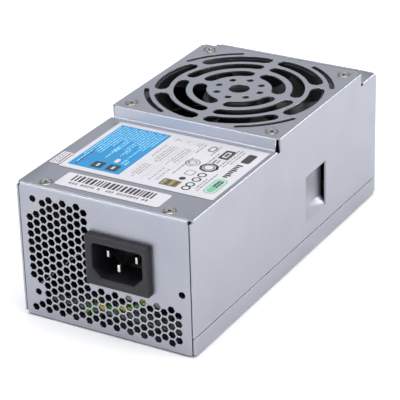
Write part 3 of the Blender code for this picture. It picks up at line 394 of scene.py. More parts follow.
def screw_blank(name, head_radius, head_height, shank_radius, length):
    """Domed head with a tapered cross recess and a shank with raised thread turns."""
    pitch = 0.0005
    thread_depth = 0.00022
    seat = 0.00002
    profile = [(head_radius * math.sin(t), head_height * (0.4 + 0.6 * math.cos(t)))
               for t in [math.pi / 2 * k / 8 for k in range(9)]]
    profile += [(head_radius, 0.00012), (head_radius - 0.0001, seat), (shank_radius, seat)]
    for k in range(int((length - 0.001) / pitch)):
        z = -0.0003 - pitch * k
        profile += [(shank_radius, z), (shank_radius - thread_depth, z - pitch * 0.5)]
    profile += [(shank_radius * 0.7, -length + 0.0002), (0.0, -length)]
    blank = add_piece(name, turned_mesh(name, profile, 28))
    reach = head_radius * 0.7
    cross = bmesh.new()
    for turn in (0.0, math.pi / 2):
        arm = bmesh.ops.create_cone(cross, cap_ends=True, segments=4, radius1=reach * 0.5,
                                    radius2=reach * 1.3, depth=head_height * 1.5)
        lift = Matrix.Translation((0, 0, head_height * (1.05 + turn * 0.001)))
        narrow = Matrix.Diagonal((1.0, 0.34, 1.0, 1.0)) @ Matrix.Rotation(math.pi / 4, 4, "Z")
        bmesh.ops.transform(cross, matrix=Matrix.Rotation(turn, 4, "Z") @ lift @ narrow, verts=arm["verts"])
    return carve(blank, add_piece(f"{name}_cross", mesh_of(f"{name}_cross", cross)))


def geometry_tree(name, sizes):
    """Geometry Nodes tree with a geometry output and named number inputs."""
    tree = bpy.data.node_groups.new(name, "GeometryNodeTree")
    tree.interface.new_socket("Geometry", in_out="INPUT", socket_type="NodeSocketGeometry")
    for label, value in sizes.items():
        kind = "NodeSocketInt" if isinstance(value, int) else "NodeSocketFloat"
        tree.interface.new_socket(label, in_out="INPUT", socket_type=kind).default_value = value
    tree.interface.new_socket("Geometry", in_out="OUTPUT", socket_type="NodeSocketGeometry")
    return tree, tree.nodes.new("NodeGroupInput"), tree.nodes.new("NodeGroupOutput")


def end_tree(tree, out, geometry, finish):
    """Realize the instances, set the material and lead to the output."""
    real = add_node(tree, "GeometryNodeRealizeInstances", Geometry=geometry)
    coat = add_node(tree, "GeometryNodeSetMaterial", Material=finish, Geometry=real.outputs[0])
    join(tree, coat.outputs[0], out.inputs["Geometry"])


def random_number(tree, low, high, seed):
    node = tree.nodes.new("FunctionNodeRandomValue")
    node.data_type = "FLOAT"
    join(tree, low, node.inputs[2])
    join(tree, high, node.inputs[3])
    join(tree, seed, node.inputs["Seed"])
    return node.outputs[1]


def instances(tree, points, thing, turn, axis):
    """Copies of an object on points, each turned about one axis."""
    source = add_node(tree, "GeometryNodeObjectInfo", Object=thing)
    way = add_node(tree, "ShaderNodeCombineXYZ", **{axis: turn})
    place = add_node(tree, "GeometryNodeInstanceOnPoints", Points=points,
                     Instance=source.outputs["Geometry"], Rotation=way.outputs[0])
    return place.outputs[0]


def grown_piece(name, tree, points, **sizes):
    """Plain mesh piece made by running a tree on some points with its own sizes."""
    mesh = bpy.data.meshes.new(name)
    mesh.from_pydata(points, [], [])
    carrier = add_piece(f"{name}_carrier", mesh)
    modifier = carrier.modifiers.new("grow", "NODES")
    modifier.node_group = tree
    for item in tree.interface.items_tree:
        label = item.name.lower().replace(" ", "_")
        if item.item_type == "SOCKET" and item.in_out == "INPUT" and label in sizes:
            modifier[item.identifier] = sizes[label]
    grown = settled_mesh(carrier)
    carrier.modifiers.remove(modifier)
    bpy.data.objects.remove(carrier)
    grown.name = name
    return add_piece(name, grown)


def screw_placing_tree(blank, finish):
    """Sets the blank on each point, turned by a fixed random amount."""
    tree, given, out = geometry_tree(f"place_{blank.name}", {"Turn Seed": 3})
    turn = random_number(tree, 0.0, math.pi, given.outputs["Turn Seed"])
    end_tree(tree, out, instances(tree, given.outputs["Geometry"], blank, turn, "Z"), finish)
    return tree


def seat_point(node, head_height):
    """Centre of a CAD screw at the height its head sits on."""
    low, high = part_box(node)
    return ((low[0] + high[0]) / 2, (low[1] + high[1]) / 2, high[2] - head_height)


# Lighter rims are painted highlight; the strong darkening in cross recesses and screw seats is painted shade.
bright_nickel = worked_finish(
    "bright_nickel", (0.26, 0.25, 0.23), (0.52, 0.50, 0.46), (0.2, 0.36), metallic=1.0, cloud=700.0,
    grain=2500.0, bump=0.000006, edge=(0.75, 0.73, 0.69), edge_radius=0.00008, nook_shade_strength=2.4,
    grime_reach=0.0009)
HEAD_HEIGHT = 0.00085
for kind, head_radius, shank_radius, length, seed in (("cover", 0.00255, 0.00135, 0.0050, 5),
                                                      ("fan", 0.00255, 0.00135, 0.0075, 8),
                                                      ("board", 0.0026, 0.0012, 0.0050, 2)):
    blank = screw_blank(f"{kind}_screw_blank", head_radius, HEAD_HEIGHT, shank_radius, length)
    names = [f"{kind}_screw_{k}" for k in (1, 2, 3, 4)]
    seats = [seat_point(name, HEAD_HEIGHT) for name in names]
    piece = grown_piece(f"{kind}_screws", screw_placing_tree(blank, bright_nickel), seats, turn_seed=seed)
    place_piece(piece, bright_nickel, "case", names, 30)
    bpy.data.objects.remove(blank)
place_copy("earth_screw", bright_nickel)


# ---------------- labels
# Printed film labels stuck to the low top: a large one with a blue panel and fine print, a long one with
# a row of bars, and a small inspection sticker. Every mark is a plain shape; there is no lettering.
def ink(name, colour):
    lighter = tuple(min(1.0, c * 1.08 + 0.004) for c in colour)
    return worked_finish(name, colour, lighter, (0.45, 0.53), cloud=90.0, grain=1800.0, bump=0.000003)


INKS = [
    ink("label_film", (0.52, 0.51, 0.55)),
    ink("blue_ink", (0.004, 0.20, 0.44)),
    ink("pale_ink", (0.22, 0.52, 0.74)),
    ink("grey_ink", (0.16, 0.155, 0.17)),
    ink("dark_ink", (0.025, 0.022, 0.028)),
    ink("bronze_ink", (0.17, 0.105, 0.03)),
    ink("green_ink", (0.16, 0.40, 0.28)),
    ink("thin_ink", (0.42, 0.40, 0.44)),
]
FILM, BLUE, PALE, GREY, DARK, BRONZE, GREEN, THIN = range(8)


def print_outline(shape, outline, low, high, index):
    """Closed slab of one colour with any outline, given in millimetres."""
    bottom = [shape.verts.new((x * MM, y * MM, low)) for x, y in outline]
    top = [shape.verts.new((x * MM, y * MM, high)) for x, y in outline]
    faces = [shape.faces.new(bottom[::-1]), shape.faces.new(top)]
    count = len(outline)
    for k in range(count):
        following = (k + 1) % count
        faces.append(shape.faces.new((bottom[k], bottom[following], top[following], top[k])))
    for face in faces:
        face.material_index = index


def rounded(left, right, near, far, radius):
    """Outline of a rectangle with rounded corners."""
    count = 5
    outline = []
    corners = ((right - radius, far - radius), (left + radius, far - radius),
               (left + radius, near + radius), (right - radius, near + radius))
    for quarter, (cx, cy) in enumerate(corners):
        for k in range(count + 1):
            angle = math.pi / 2 * (quarter + k / count)
            outline.append((cx + radius * math.cos(angle), cy + radius * math.sin(angle)))
    return outline


class Label:
    """A film label lying on the cover, with flat printed shapes a hair above it."""

    def __init__(self, node):
        low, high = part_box(node)
        self.node = node
        self.top = high[2]
        self.shape = bmesh.new()
        self.left, self.near = low[0] / MM, low[1] / MM
        self.right, self.far = high[0] / MM, high[1] / MM
        self.bottom = low[2]

    def film(self, radius):
        print_outline(self.shape, rounded(self.left, self.right, self.near, self.far, radius),
                      self.bottom, self.top, FILM)

    def patch(self, outline, index, layer=1):
        sunk = 0.00001
        lift = 0.000012
        print_outline(self.shape, outline, self.top - sunk, self.top + lift * layer, index)

    def pill(self, left, right, near, far, radius, index, layer=1):
        self.patch(rounded(left, right, near, far, radius), index, layer)

    def bar(self, left, right, near, far, index, layer=1):
        self.patch([(left, near), (right, near), (right, far), (left, far)], index, layer)

    def ring(self, x, y, radius, width, index, sides=28):
        steps = [2 * math.pi * k / sides for k in range(sides)]
        outer = [(x + radius * math.cos(t), y + radius * math.sin(t)) for t in steps]
        inner = [(x + (radius - width) * math.cos(t), y + (radius - width) * math.sin(t)) for t in steps]
        for k in range(sides):
            following = (k + 1) % sides
            self.patch([outer[k], outer[following], inner[following], inner[k]], index)

    def fine_print(self, x, far, near, width, index, chance, layer=1):
        """A line of word-long dashes that runs towards the near edge."""
        y = far
        while y > near:
            length = chance.uniform(0.7, 2.6)
            end = max(near, y - length)
            if y - end > 0.3:
                self.bar(x - width / 2, x + width / 2, end, y, index, layer)
            y = end - chance.uniform(0.35, 0.7)

    def finish(self):
        name = f"{self.node}_printed"
        piece = add_piece(name, closed_mesh(name, self.shape))
        for colour in INKS:
            piece.data.materials.append(colour)
        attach(piece, "case")
        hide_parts(self.node)


def blue_panel(label, chance):
    """Panel of pale fine print with two plain dark squares and a pale pill."""
    label.bar(-32.6, -6.9, -63.2, -18.6, BLUE)
    for k in range(17):
        x = -31.6 + 1.42 * k
        start = -19.4 if k % 3 else -20.6
        end = -40.0 - 8.0 * math.sin(1.9 * k) - (12.0 if k < 4 else 0.0)
        label.fine_print(x, start, end, 0.62, PALE, chance, 2)
    for x, near in ((-21.0, -51.0), (-14.9, -44.0), (-9.3, -36.0)):
        label.fine_print(x, -40.0, near, 0.7, PALE, chance, 2)
    label.fine_print(-29.4, -44.0, -62.0, 0.8, DARK, chance, 2)
    for left in (-22.9, -15.4):
        label.pill(left + 0.2, left + 5.6, -61.4, -55.4, 0.9, DARK, 2)
        label.bar(left + 2.3, left + 3.5, -59.8, -57.0, PALE, 3)
    label.pill(-15.6, -13.5, -53.4, -49.6, 0.9, FILM, 2)
    label.fine_print(-11.4, -49.0, -53.6, 1.0, PALE, chance, 2)
    label.fine_print(-9.6, -50.0, -54.4, 1.0, PALE, chance, 2)


def tables(label, chance):
    """White part: ruled columns of fine grey print that run towards the near edge."""
    for x, near in ((-4.8, -62.6), (3.6, -62.6), (10.4, -60.0), (15.8, -46.0)):
        label.bar(x - 0.1, x + 0.1, near, -18.8, THIN)
    for y in (-26.6, -46.4):
        label.bar(-4.8, 10.4, y - 0.1, y + 0.1, THIN)
    x = -3.9
    while x < 9.9:
        for far, near in ((-19.4, -25.4), (-27.6, -45.4), (-47.6, -61.8)):
            label.fine_print(x, far - chance.uniform(0.0, 0.8), near + chance.uniform(0.0, 4.0), 0.5,
                             GREY if chance.random() < 0.35 else THIN, chance)
        x += 1.36
    for x, far, near in ((11.6, -20.0, -30.0), (13.0, -34.0, -52.0), (18.7, -19.0, -29.0),
                         (27.4, -19.5, -41.0), (29.0, -19.0, -37.0), (30.6, -20.0, -33.0),
                         (30.4, -44.0, -62.0), (28.9, -50.0, -60.0), (21.2, -26.0, -36.0)):
        label.fine_print(x, far, near, 0.62, GREY, chance)


def plain_emblems(label, chance):
    """Plain bars, rings and pills of the sizes that marks have on such a label."""
    label.pill(12.3, 20.8, -63.0, -56.8, 0.9, BRONZE, 2)
    for k in range(4):
        label.fine_print(13.6 + 1.9 * k, -57.8, -62.2, 0.8, DARK if k % 2 else GREEN, chance, 3)
    label.pill(32.3, 38.4, -61.8, -47.2, 2.9, GREEN)
    label.pill(33.0, 37.7, -61.1, -47.9, 2.3, FILM, 2)
    label.pill(33.5, 37.2, -60.6, -48.4, 1.9, GREEN, 3)
    label.fine_print(34.7, -49.6, -56.0, 0.9, DARK, chance, 4)
    label.fine_print(36.2, -49.4, -56.4, 0.8, DARK, chance, 4)
    label.ring(24.0, -39.9, 4.4, 1.3, DARK, 8)
    label.ring(24.0, -39.9, 2.5, 0.5, DARK)
    label.ring(15.3, -38.6, 3.4, 0.55, GREY)
    label.ring(15.3, -38.6, 2.0, 0.55, GREY)
    label.pill(17.2, 21.4, -50.2, -45.4, 0.8, GREY)
    label.pill(17.7, 20.9, -49.7, -45.9, 0.5, FILM, 2)
    label.pill(17.6, 20.6, -55.5, -52.5, 1.45, DARK)
    label.pill(22.4, 27.2, -30.0, -21.2, 0.8, DARK)
    label.pill(23.6, 26.0, -28.4, -22.8, 0.6, FILM, 2)
    label.bar(24.2, 25.4, -27.4, -23.8, DARK, 3)
    label.bar(22.6, 23.6, -35.4, -31.4, GREY)
    label.bar(24.4, 25.2, -34.8, -31.4, GREY)
    label.pill(14.6, 18.2, -25.8, -20.2, 1.6, GREY)
    label.pill(15.4, 17.4, -24.8, -21.2, 0.9, FILM, 2)
    for y in (-47.6, -52.4, -57.6, -61.2):
        label.ring(25.0, y, 2.1, 0.75, DARK)
    label.pill(33.2, 37.4, -29.6, -20.6, 1.0, DARK)
    for k in range(8):
        label.bar(33.3, 35.5 if k % 3 else 36.2, -33.2 - 1.75 * k, -31.9 - 1.75 * k, DARK)


def rating_label():
    chance = random.Random(7)
    label = Label("rating_label")
    label.film(0.8)
    blue_panel(label, chance)
    tables(label, chance)
    plain_emblems(label, chance)
    label.finish()


def serial_label():
    chance = random.Random(11)
    label = Label("serial_label")
    label.film(1.4)
    x = -22.3
    while x < 17.6:
        width = chance.choice((0.7, 0.9, 1.4))
        label.bar(x, x + width, -76.7, -71.2, DARK)
        x += width + chance.choice((0.6, 0.8, 0.9))
    x = -21.6
    while x < 18.0:
        width = chance.uniform(0.6, 1.3)
        if chance.random() < 0.85:
            label.bar(x, x + width, -79.7, -77.9, GREY)
        x += width + 0.45
    label.finish()


def inspection_sticker():
    chance = random.Random(3)
    label = Label("inspection_sticker")
    label.film(0.4)
    for k in range(3):
        label.fine_print(label.left + 1.1 + 1.3 * k, label.far - 0.8, label.near + 0.8, 0.5, GREY, chance)
    label.bar(label.right - 1.0, label.right - 0.7, label.near + 0.6, label.far - 0.6, BRONZE)
    label.finish()


rating_label()
serial_label()
inspection_sticker()


# ---------------- mains inlet
# One black moulding, snapped into the panel from the front, with a matt spark-eroded face and an eased
# rim; three folded blades of plated brass stand in its recess, the earth blade longest.
# Its lighter rims and edges are painted highlight.
inlet_black = worked_finish(
    "inlet_black", (0.012, 0.011, 0.014), (0.020, 0.019, 0.024), (0.38, 0.52), cloud=160.0, grain=2600.0,
    bump=0.000015, edge=(0.05, 0.047, 0.058), edge_radius=0.0006, specular=0.35)


def corners_of(node):
    """Lowest and highest corner of a CAD node's box."""
    low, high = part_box(node)
    return Vector(low), Vector(high)


def corner_ring(low, high, corners):
    """Outline of a block with a round or cut at each corner, anticlockwise from the upper right."""
    places = ((high[0], high[1], 1, 1), (low[0], high[1], -1, 1), (low[0], low[1], -1, -1),
              (high[0], low[1], 1, -1))
    steps = 5
    outline = []
    for quarter, ((x, z, sx, sz), (size, is_cut)) in enumerate(zip(places, corners)):
        for k in range(steps + 1):
            t = k / steps
            if is_cut:
                first, last = ((x, z - sz * size), (x - sx * size, z))
                if quarter % 2:
                    first, last = last, first
                outline.append((first[0] + (last[0] - first[0]) * t, first[1] + (last[1] - first[1]) * t))
            else:
                angle = math.pi / 2 * (quarter + t)
                outline.append((x + size * (math.cos(angle) - sx), z + size * (math.sin(angle) - sz)))
    return outline


def inlet_moulding():
    """Bezel with rounded rims, chamfered mouth, deep recess and the body behind, as one closed loft."""
    low, high = (corner / MM for corner in corners_of("inlet_housing"))
    centre_x, centre_z = (low.x + high.x) / 2, (low.z + high.z) / 2
    half_x, half_z = (high.x - low.x) / 2, (high.z - low.z) / 2
    front, back = low.y, high.y
    panel = front + 2.9
    body_x, body_z = 13.7, 10.0
    recess_x, recess_z = 12.25, 8.0
    recess_floor = front + 16.0

    def ring(y, wide, tall, size, cut_size=None):
        lower = (size, False) if cut_size is None else (cut_size, True)
        corners = ((size, False), (size, False), lower, lower)
        outline = corner_ring((centre_x - wide, centre_z - tall), (centre_x + wide, centre_z + tall), corners)
        return [(x * MM, y * MM, z * MM) for x, z in outline]

    rings = [ring(back, body_x - 0.4, body_z - 0.4, 0.6), ring(back - 0.4, body_x, body_z, 0.8),
             ring(panel, body_x, body_z, 0.8), ring(panel, half_x - 0.15, half_z - 0.15, 1.0),
             ring(panel - 0.2, half_x, half_z, 1.1), ring(front + 0.9, half_x, half_z, 1.1)]
    rim = 0.85
    for k in range(1, 5):
        t = math.pi / 2 * k / 4
        inset = rim * (1 - math.cos(t))
        rings.append(ring(front + rim * (1 - math.sin(t)), half_x - inset, half_z - inset, 1.1))
    mouth = 0.45
    lip = front + 0.22
    rings += [ring(front, recess_x + 1.5, recess_z + 1.3, 1.9, 5.0),
              ring(lip, recess_x + 1.35, recess_z + 1.15, 1.9, 4.95),
              ring(lip, recess_x + mouth + 0.1, recess_z + mouth + 0.1, 1.8, 4.7),
              ring(lip + mouth, recess_x, recess_z, 1.6, 4.5),
              ring(recess_floor - 0.3, recess_x, recess_z, 1.6, 4.5),
              ring(recess_floor, recess_x - 0.3, recess_z - 0.3, 1.4, 4.4)]
    shape = bmesh.new()
    loops = [[shape.verts.new(place) for place in ring_places] for ring_places in rings]
    skin(shape, loops)
    shape.faces.new(loops[0])
    shape.faces.new(loops[-1])
    piece = add_piece("inlet_moulding", closed_mesh("inlet_moulding", shape))
    slots = bmesh.new()
    room = Vector((0.0002, 0.0, 0.0002))
    for pin in PINS:
        pin_low, pin_high = corners_of(pin)
        start = Vector((pin_low.x, (recess_floor - 1.0) * MM, pin_low.z)) - room
        end = Vector((pin_high.x, (back + 1.0) * MM, pin_high.z)) + room
        bmesh.ops.create_cube(slots, size=1.0, matrix=Matrix.Translation((start + end) / 2)
                              @ Matrix.Diagonal((*(end - start), 1.0)))
    return carve(piece, add_piece("pin_slots", mesh_of("pin_slots", slots)))


PINS = ("live_pin", "neutral_pin", "earth_pin")
place_piece(inlet_moulding(), inlet_black, "case", ["inlet_housing"], 25)


def inlet_blade(node):
    """Flat blade with a tapered, rounded tip and a thinner rear tab."""
    low, high = corners_of(node)
    middle = (low + high) / 2
    half_x, half_z = (high.x - low.x) / 2, (high.z - low.z) / 2
    stations = [(low.y, 0.35, 0.55), (low.y + 0.0003, 0.62, 0.8), (low.y + 0.0011, 1.0, 1.0),
                (high.y - 0.0065, 1.0, 1.0), (high.y - 0.006, 0.45, 1.0), (high.y - 0.0006, 0.45, 1.0),
                (high.y, 0.4, 0.75)]
    corner = 0.3
    shape = bmesh.new()
    rings = []
    for y, thick, tall in stations:
        ring = []
        for sx, sz in ((1, 1), (-1, 1), (-1, -1), (1, -1)):
            a, b = half_x * thick, half_z * tall
            ends = [(sx * a, sz * (b - corner * a)), (sx * (a - corner * a), sz * b)]
            ring += ends if sx * sz > 0 else ends[::-1]
        rings.append([shape.verts.new((middle.x + x, y, middle.z + z)) for x, z in ring])
    skin(shape, rings)
    shape.faces.new(rings[0])
    shape.faces.new(rings[-1])
    return add_piece(f"{node}_blade", closed_mesh(f"{node}_blade", shape))


plated_brass = worked_finish(
    "plated_brass", (0.46, 0.45, 0.42), (0.66, 0.64, 0.60), (0.16, 0.3), metallic=1.0, cloud=300.0,
    grain=1800.0, stretch=0.15, bump=0.000004)
for pin in PINS:
    place_piece(inlet_blade(pin), plated_brass, "case", [pin])
place_copy("earth_terminal", plated_brass)


# ---------------- fan
# An 80 mm fan of black glass-filled plastic: a square frame with its motor on four struts, and a rotor whose
# pitched blades thin towards their tips. The ring magnet and shaft turn with the hub.
# Its lighter edges are painted highlight.
fan_black = worked_finish(
    "fan_black", (0.008, 0.008, 0.010), (0.018, 0.018, 0.021), (0.36, 0.5), cloud=120.0, grain=2200.0,
    bump=0.000012, edge=(0.04, 0.04, 0.046), edge_radius=0.0004, specular=0.3)
place_copy("fan_frame", fan_black)
rotor_low, rotor_high = corners_of("fan_rotor")
fan_y = frame["joints"][0]["pos_m"][1]
HUB_RADIUS = 0.017
BLADE_TIP = 0.0368
BLADE_COUNT = 7


def fan_blade_master(name):
    """One swept blade with a thick root, thin tip and rounded edges, closed, about the fan's axis."""
    spans, chords = 12, 10
    buried = 0.0006
    rise = 0.0138
    camber = 0.0014
    middle_z = (rotor_low.z + rotor_high.z - camber) / 2
    shape = bmesh.new()
    grids = []
    for side in (1, -1):
        grid = []
        for i in range(spans + 1):
            t = i / spans
            radius = HUB_RADIUS - buried + (BLADE_TIP - HUB_RADIUS + buried) * t
            chord = math.radians(38 - 4 * t)
            sweep = math.radians(10 * t * t)
            row = []
            for k in range(chords + 1):
                s = k / chords
                theta = sweep + chord * (s - 0.5)
                belly = math.sin(math.pi * s)
                thick = (0.0007 - 0.00025 * t) * (0.25 + 0.75 * belly)
                z = middle_z + rise * (s - 0.5) + camber * belly + side * thick
                row.append(shape.verts.new((radius * math.cos(theta), radius * math.sin(theta), z)))
            grid.append(row)
        grids.append(grid)
    top, under = grids
    for i in range(spans):
        for k in range(chords):
            shape.faces.new((top[i][k], top[i + 1][k], top[i + 1][k + 1], top[i][k + 1]))
            shape.faces.new((under[i][k], under[i][k + 1], under[i + 1][k + 1], under[i + 1][k]))
        shape.faces.new((top[i][0], under[i][0], under[i + 1][0], top[i + 1][0]))
        shape.faces.new((top[i][-1], top[i + 1][-1], under[i + 1][-1], under[i][-1]))
    for k in range(chords):
        shape.faces.new((top[0][k], top[0][k + 1], under[0][k + 1], under[0][k]))
        shape.faces.new((top[-1][k], under[-1][k], under[-1][k + 1], top[-1][k + 1]))
    return add_piece(name, closed_mesh(name, shape))


def fan_hub_master(name):
    """Cup-shaped hub with an eased shoulder and a shallow dish in its crown."""
    top = rotor_high.z
    low = top - 0.0155
    ease = 0.0022
    dish = top - 0.0004
    inside = HUB_RADIUS - 0.0015
    ceiling = top - 0.0026
    boss, bore, bore_end = 0.0032, 0.0017, top - 0.0014
    shoulder = [(HUB_RADIUS - ease + ease * math.sin(t), top - ease + ease * math.cos(t))
                for t in [math.pi / 2 * k / 6 for k in range(7)]]
    profile = [(0.0, dish), (0.0118, dish), (0.0122, top)] + shoulder
    profile += [(HUB_RADIUS, low), (inside, low), (inside, ceiling), (boss, ceiling), (boss, top - 0.005),
                (bore, top - 0.005), (bore, bore_end), (0.0, bore_end)]
    return add_piece(name, turned_mesh(name, profile, 64))


def rotor_tree(blade, hub, finish):
    """Repeats the blade about the axis and adds the hub."""
    tree, given, out = geometry_tree("rotor", {"Blades": BLADE_COUNT, "Centre Y": 0.0})
    wheel = add_node(tree, "GeometryNodeMeshCircle", Radius=0.001, Vertices=given.outputs["Blades"])
    gather = add_node(tree, "GeometryNodeSetPosition", Geometry=wheel.outputs[0], Position=(0.0, 0.0, 0.0))
    index = tree.nodes.new("GeometryNodeInputIndex")
    share = number(tree, "DIVIDE", index.outputs[0], given.outputs["Blades"])
    angle = number(tree, "MULTIPLY", share, 2 * math.pi)
    crown = add_node(tree, "GeometryNodeObjectInfo", Object=hub)
    both = tree.nodes.new("GeometryNodeJoinGeometry")
    join(tree, instances(tree, gather.outputs[0], blade, angle, "Z"), both.inputs[0])
    join(tree, crown.outputs["Geometry"], both.inputs[0])
    shift = add_node(tree, "ShaderNodeCombineXYZ", Y=given.outputs["Centre Y"])
    move = add_node(tree, "GeometryNodeTransform", Geometry=both.outputs[0], Translation=shift.outputs[0])
    end_tree(tree, out, move.outputs[0], finish)
    return tree


blade_master = fan_blade_master("blade_master")
hub_master = fan_hub_master("hub_master")
rotor = grown_piece("fan_rotor_finished", rotor_tree(blade_master, hub_master, fan_black), [(0, 0, 0)],
                    blades=BLADE_COUNT, centre_y=fan_y)
place_piece(rotor, fan_black, "rotor", ["fan_rotor"], 40)
bpy.data.objects.remove(blade_master)
bpy.data.objects.remove(hub_master)

magnet_grey = worked_finish(
    "magnet_grey", (0.035, 0.035, 0.037), (0.06, 0.06, 0.062), (0.5, 0.7), cloud=200.0)
place_copy("fan_magnet", magnet_grey, "rotor")
place_copy("fan_shaft", bright_nickel, "rotor")
sintered_bronze = worked_finish(
    "sintered_bronze", (0.36, 0.20, 0.08), (0.52, 0.33, 0.15), (0.35, 0.55), metallic=1.0, cloud=400.0,
    grain=3000.0)
place_copy("fan_bearing", sintered_bronze)
coil_copper = worked_finish(
    "coil_copper", (0.30, 0.09, 0.03), (0.55, 0.20, 0.07), (0.22, 0.4), metallic=0.9, cloud=200.0,
    grain=2600.0, stretch=0.2, bump=0.00006)
place_copy("fan_stator", coil_copper)


# ---------------- circuit boards
# Brown paper laminate with a green solder mask below; solder joints and small parts stand on top. The fan's
# own board and the upright control board are cut from the same sheet.
laminate = worked_finish(
    "board_laminate", (0.006, 0.018, 0.022), (0.013, 0.032, 0.036), (0.5, 0.66), cloud=60.0, grain=1400.0,
    stretch=0.3, bump=0.00002)
for board in ("main_board", "control_board", "fan_circuit_board"):
    place_copy(board, laminate)
film_clear = worked_finish("insulating_film", (0.62, 0.63, 0.60), (0.74, 0.75, 0.72), (0.2, 0.34), cloud=30.0)
place_copy("insulating_sheet", film_clear)


# ---------------- leads
# Stranded copper in a smooth coloured jacket. The earth lead is green with a yellow stripe that runs round
# it; the others are plain. Each follows its clipped route from joint to joint.
def jacket(name, dark, light):
    return worked_finish(name, dark, light, (0.26, 0.38), cloud=300.0, grain=1500.0, bump=0.000006)


def striped_jacket():
    """Green jacket with a yellow stripe, laid by the stripe attribute stored along the lead."""
    made = jacket("earth_jacket", (0.03, 0.22, 0.02), (0.05, 0.30, 0.03))
    tree = made.node_tree
    shader = tree.nodes["Principled BSDF"]
    green = shader.inputs["Base Color"].links[0].from_socket
    stripe = tree.nodes.new("ShaderNodeAttribute")
    stripe.attribute_name = "stripe"
    striped = blend_colours(tree, stripe.outputs["Fac"], green, (0.72, 0.62, 0.04))
    join(tree, striped, shader.inputs["Base Color"])
    return made


def smooth_route(points, step):
    """Points along a smooth curve through the route's own points."""
    route = [Vector(p) * MM for p in points]
    ends = [2 * route[0] - route[1]] + route + [2 * route[-1] - route[-2]]
    smooth = []
    for i in range(1, len(ends) - 2):
        a, b, c, d = ends[i - 1:i + 3]
        count = max(3, round((c - b).length / step))
        for k in range(count):
            t = k / count
            smooth.append(0.5 * ((2 * b) + (c - a) * t + (2 * a - 5 * b + 4 * c - d) * t * t
                                 + (3 * b - a - 3 * c + d) * t ** 3))
    smooth.append(route[-1])
    return smooth


def lead(name, points, radius, finish, stripe_pitch=None):
    """Round tube along a route, its ends eased, with an attribute that marks a stripe winding round it."""
    path = smooth_route(points, 0.0009)
    sides = 14
    eased = 0.9
    stripe_edge = 0.35
    shape = bmesh.new()
    mark = shape.verts.layers.float.new("stripe")
    side = Vector((0.0, 0.0, 1.0))
    rings = []
    travelled = 0.0
    for i, point in enumerate(path):
        ahead = (path[min(i + 1, len(path) - 1)] - path[max(i - 1, 0)]).normalized()
        side = (side - ahead * side.dot(ahead)).normalized()
        other = ahead.cross(side)
        if i:
            travelled += (point - path[i - 1]).length
        width = radius * (eased if i in (0, len(path) - 1) else 1.0)
        ring = []
        for k in range(sides):
            angle = 2 * math.pi * k / sides
            vert = shape.verts.new(point + (side * math.cos(angle) + other * math.sin(angle)) * width)
            if stripe_pitch:
                phase = angle - 2 * math.pi * travelled / stripe_pitch
                vert[mark] = 1.0 if math.cos(phase) > stripe_edge else 0.0
            ring.append(vert)
        rings.append(ring)
    skin(shape, rings)
    shape.faces.new(rings[0][::-1])
    shape.faces.new(rings[-1])
    piece = add_piece(f"{name}_jacketed", closed_mesh(f"{name}_jacketed", shape))
    place_piece(piece, finish, "case", [name], 60)


TAB_END = -66.0
live, neutral, earth = (sum(corners_of(pin), Vector()) / 2 / MM for pin in PINS)
start = TAB_END + 0.3
straight = start + 2.5
board_top = 7.7
MAINS_RADIUS = 0.0011
EARTH_RADIUS = 0.0013
FAN_LEAD_RADIUS = 0.0007
STRIPE_PITCH = 0.011
lead("live_lead", [(live.x, start, live.z), (live.x, straight, live.z),
                   (live.x + 5.0, start + 6.0, live.z - 5.0), (live.x + 12.0, start + 6.0, 24.0),
                   (31.0, start + 6.0, 14.0), (31.0, start + 6.0, board_top)],
     MAINS_RADIUS, jacket("live_jacket", (0.10, 0.035, 0.015), (0.16, 0.06, 0.03)))
lead("neutral_lead", [(neutral.x, start, neutral.z), (neutral.x, straight, neutral.z),
                      (neutral.x - 3.0, start + 5.5, neutral.z - 6.0), (neutral.x - 6.5, start + 4.0, 22.0),
                      (-7.5, start + 2.0, 12.0), (-7.5, start + 2.0, board_top)],
     MAINS_RADIUS, jacket("neutral_jacket", (0.01, 0.05, 0.26), (0.02, 0.09, 0.38)))
lead("earth_lead", [(earth.x, start, earth.z), (earth.x, straight, earth.z),
                    (earth.x + 5.0, start + 3.0, earth.z - 6.0), (19.0, start - 4.0, 22.5),
                    (15.5, -79.0, 16.0), (8.0, -81.2, 12.6), (-1.5, -82.0, 10.0), (-9.0, -81.8, 9.2),
                    (-13.8, -80.3, 6.8), (-14.6, -80.0, 2.8)],
     EARTH_RADIUS, striped_jacket(), STRIPE_PITCH)
pad_x, pad_y = -34.0, 14.0
strut_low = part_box("fan_frame")[0][2] / MM
axis_y = fan_y / MM
for name, shift, dark, light in (("fan_lead_red", 1.25, (0.30, 0.01, 0.01), (0.45, 0.02, 0.02)),
                                 ("fan_lead_black", -1.25, (0.012, 0.012, 0.012), (0.025, 0.025, 0.025))):
    lead(name, [(-16.5, axis_y - 6.0 + shift, strut_low + 1.0),
                (-22.0, axis_y - 8.0 + shift, strut_low - 2.0),
                (-33.0, axis_y - 12.0 + shift, strut_low - 6.0), (pad_x, pad_y + shift, 28.0),
                (pad_x, pad_y + shift, board_top)], FAN_LEAD_RADIUS, jacket(f"{name}_jacket", dark, light))
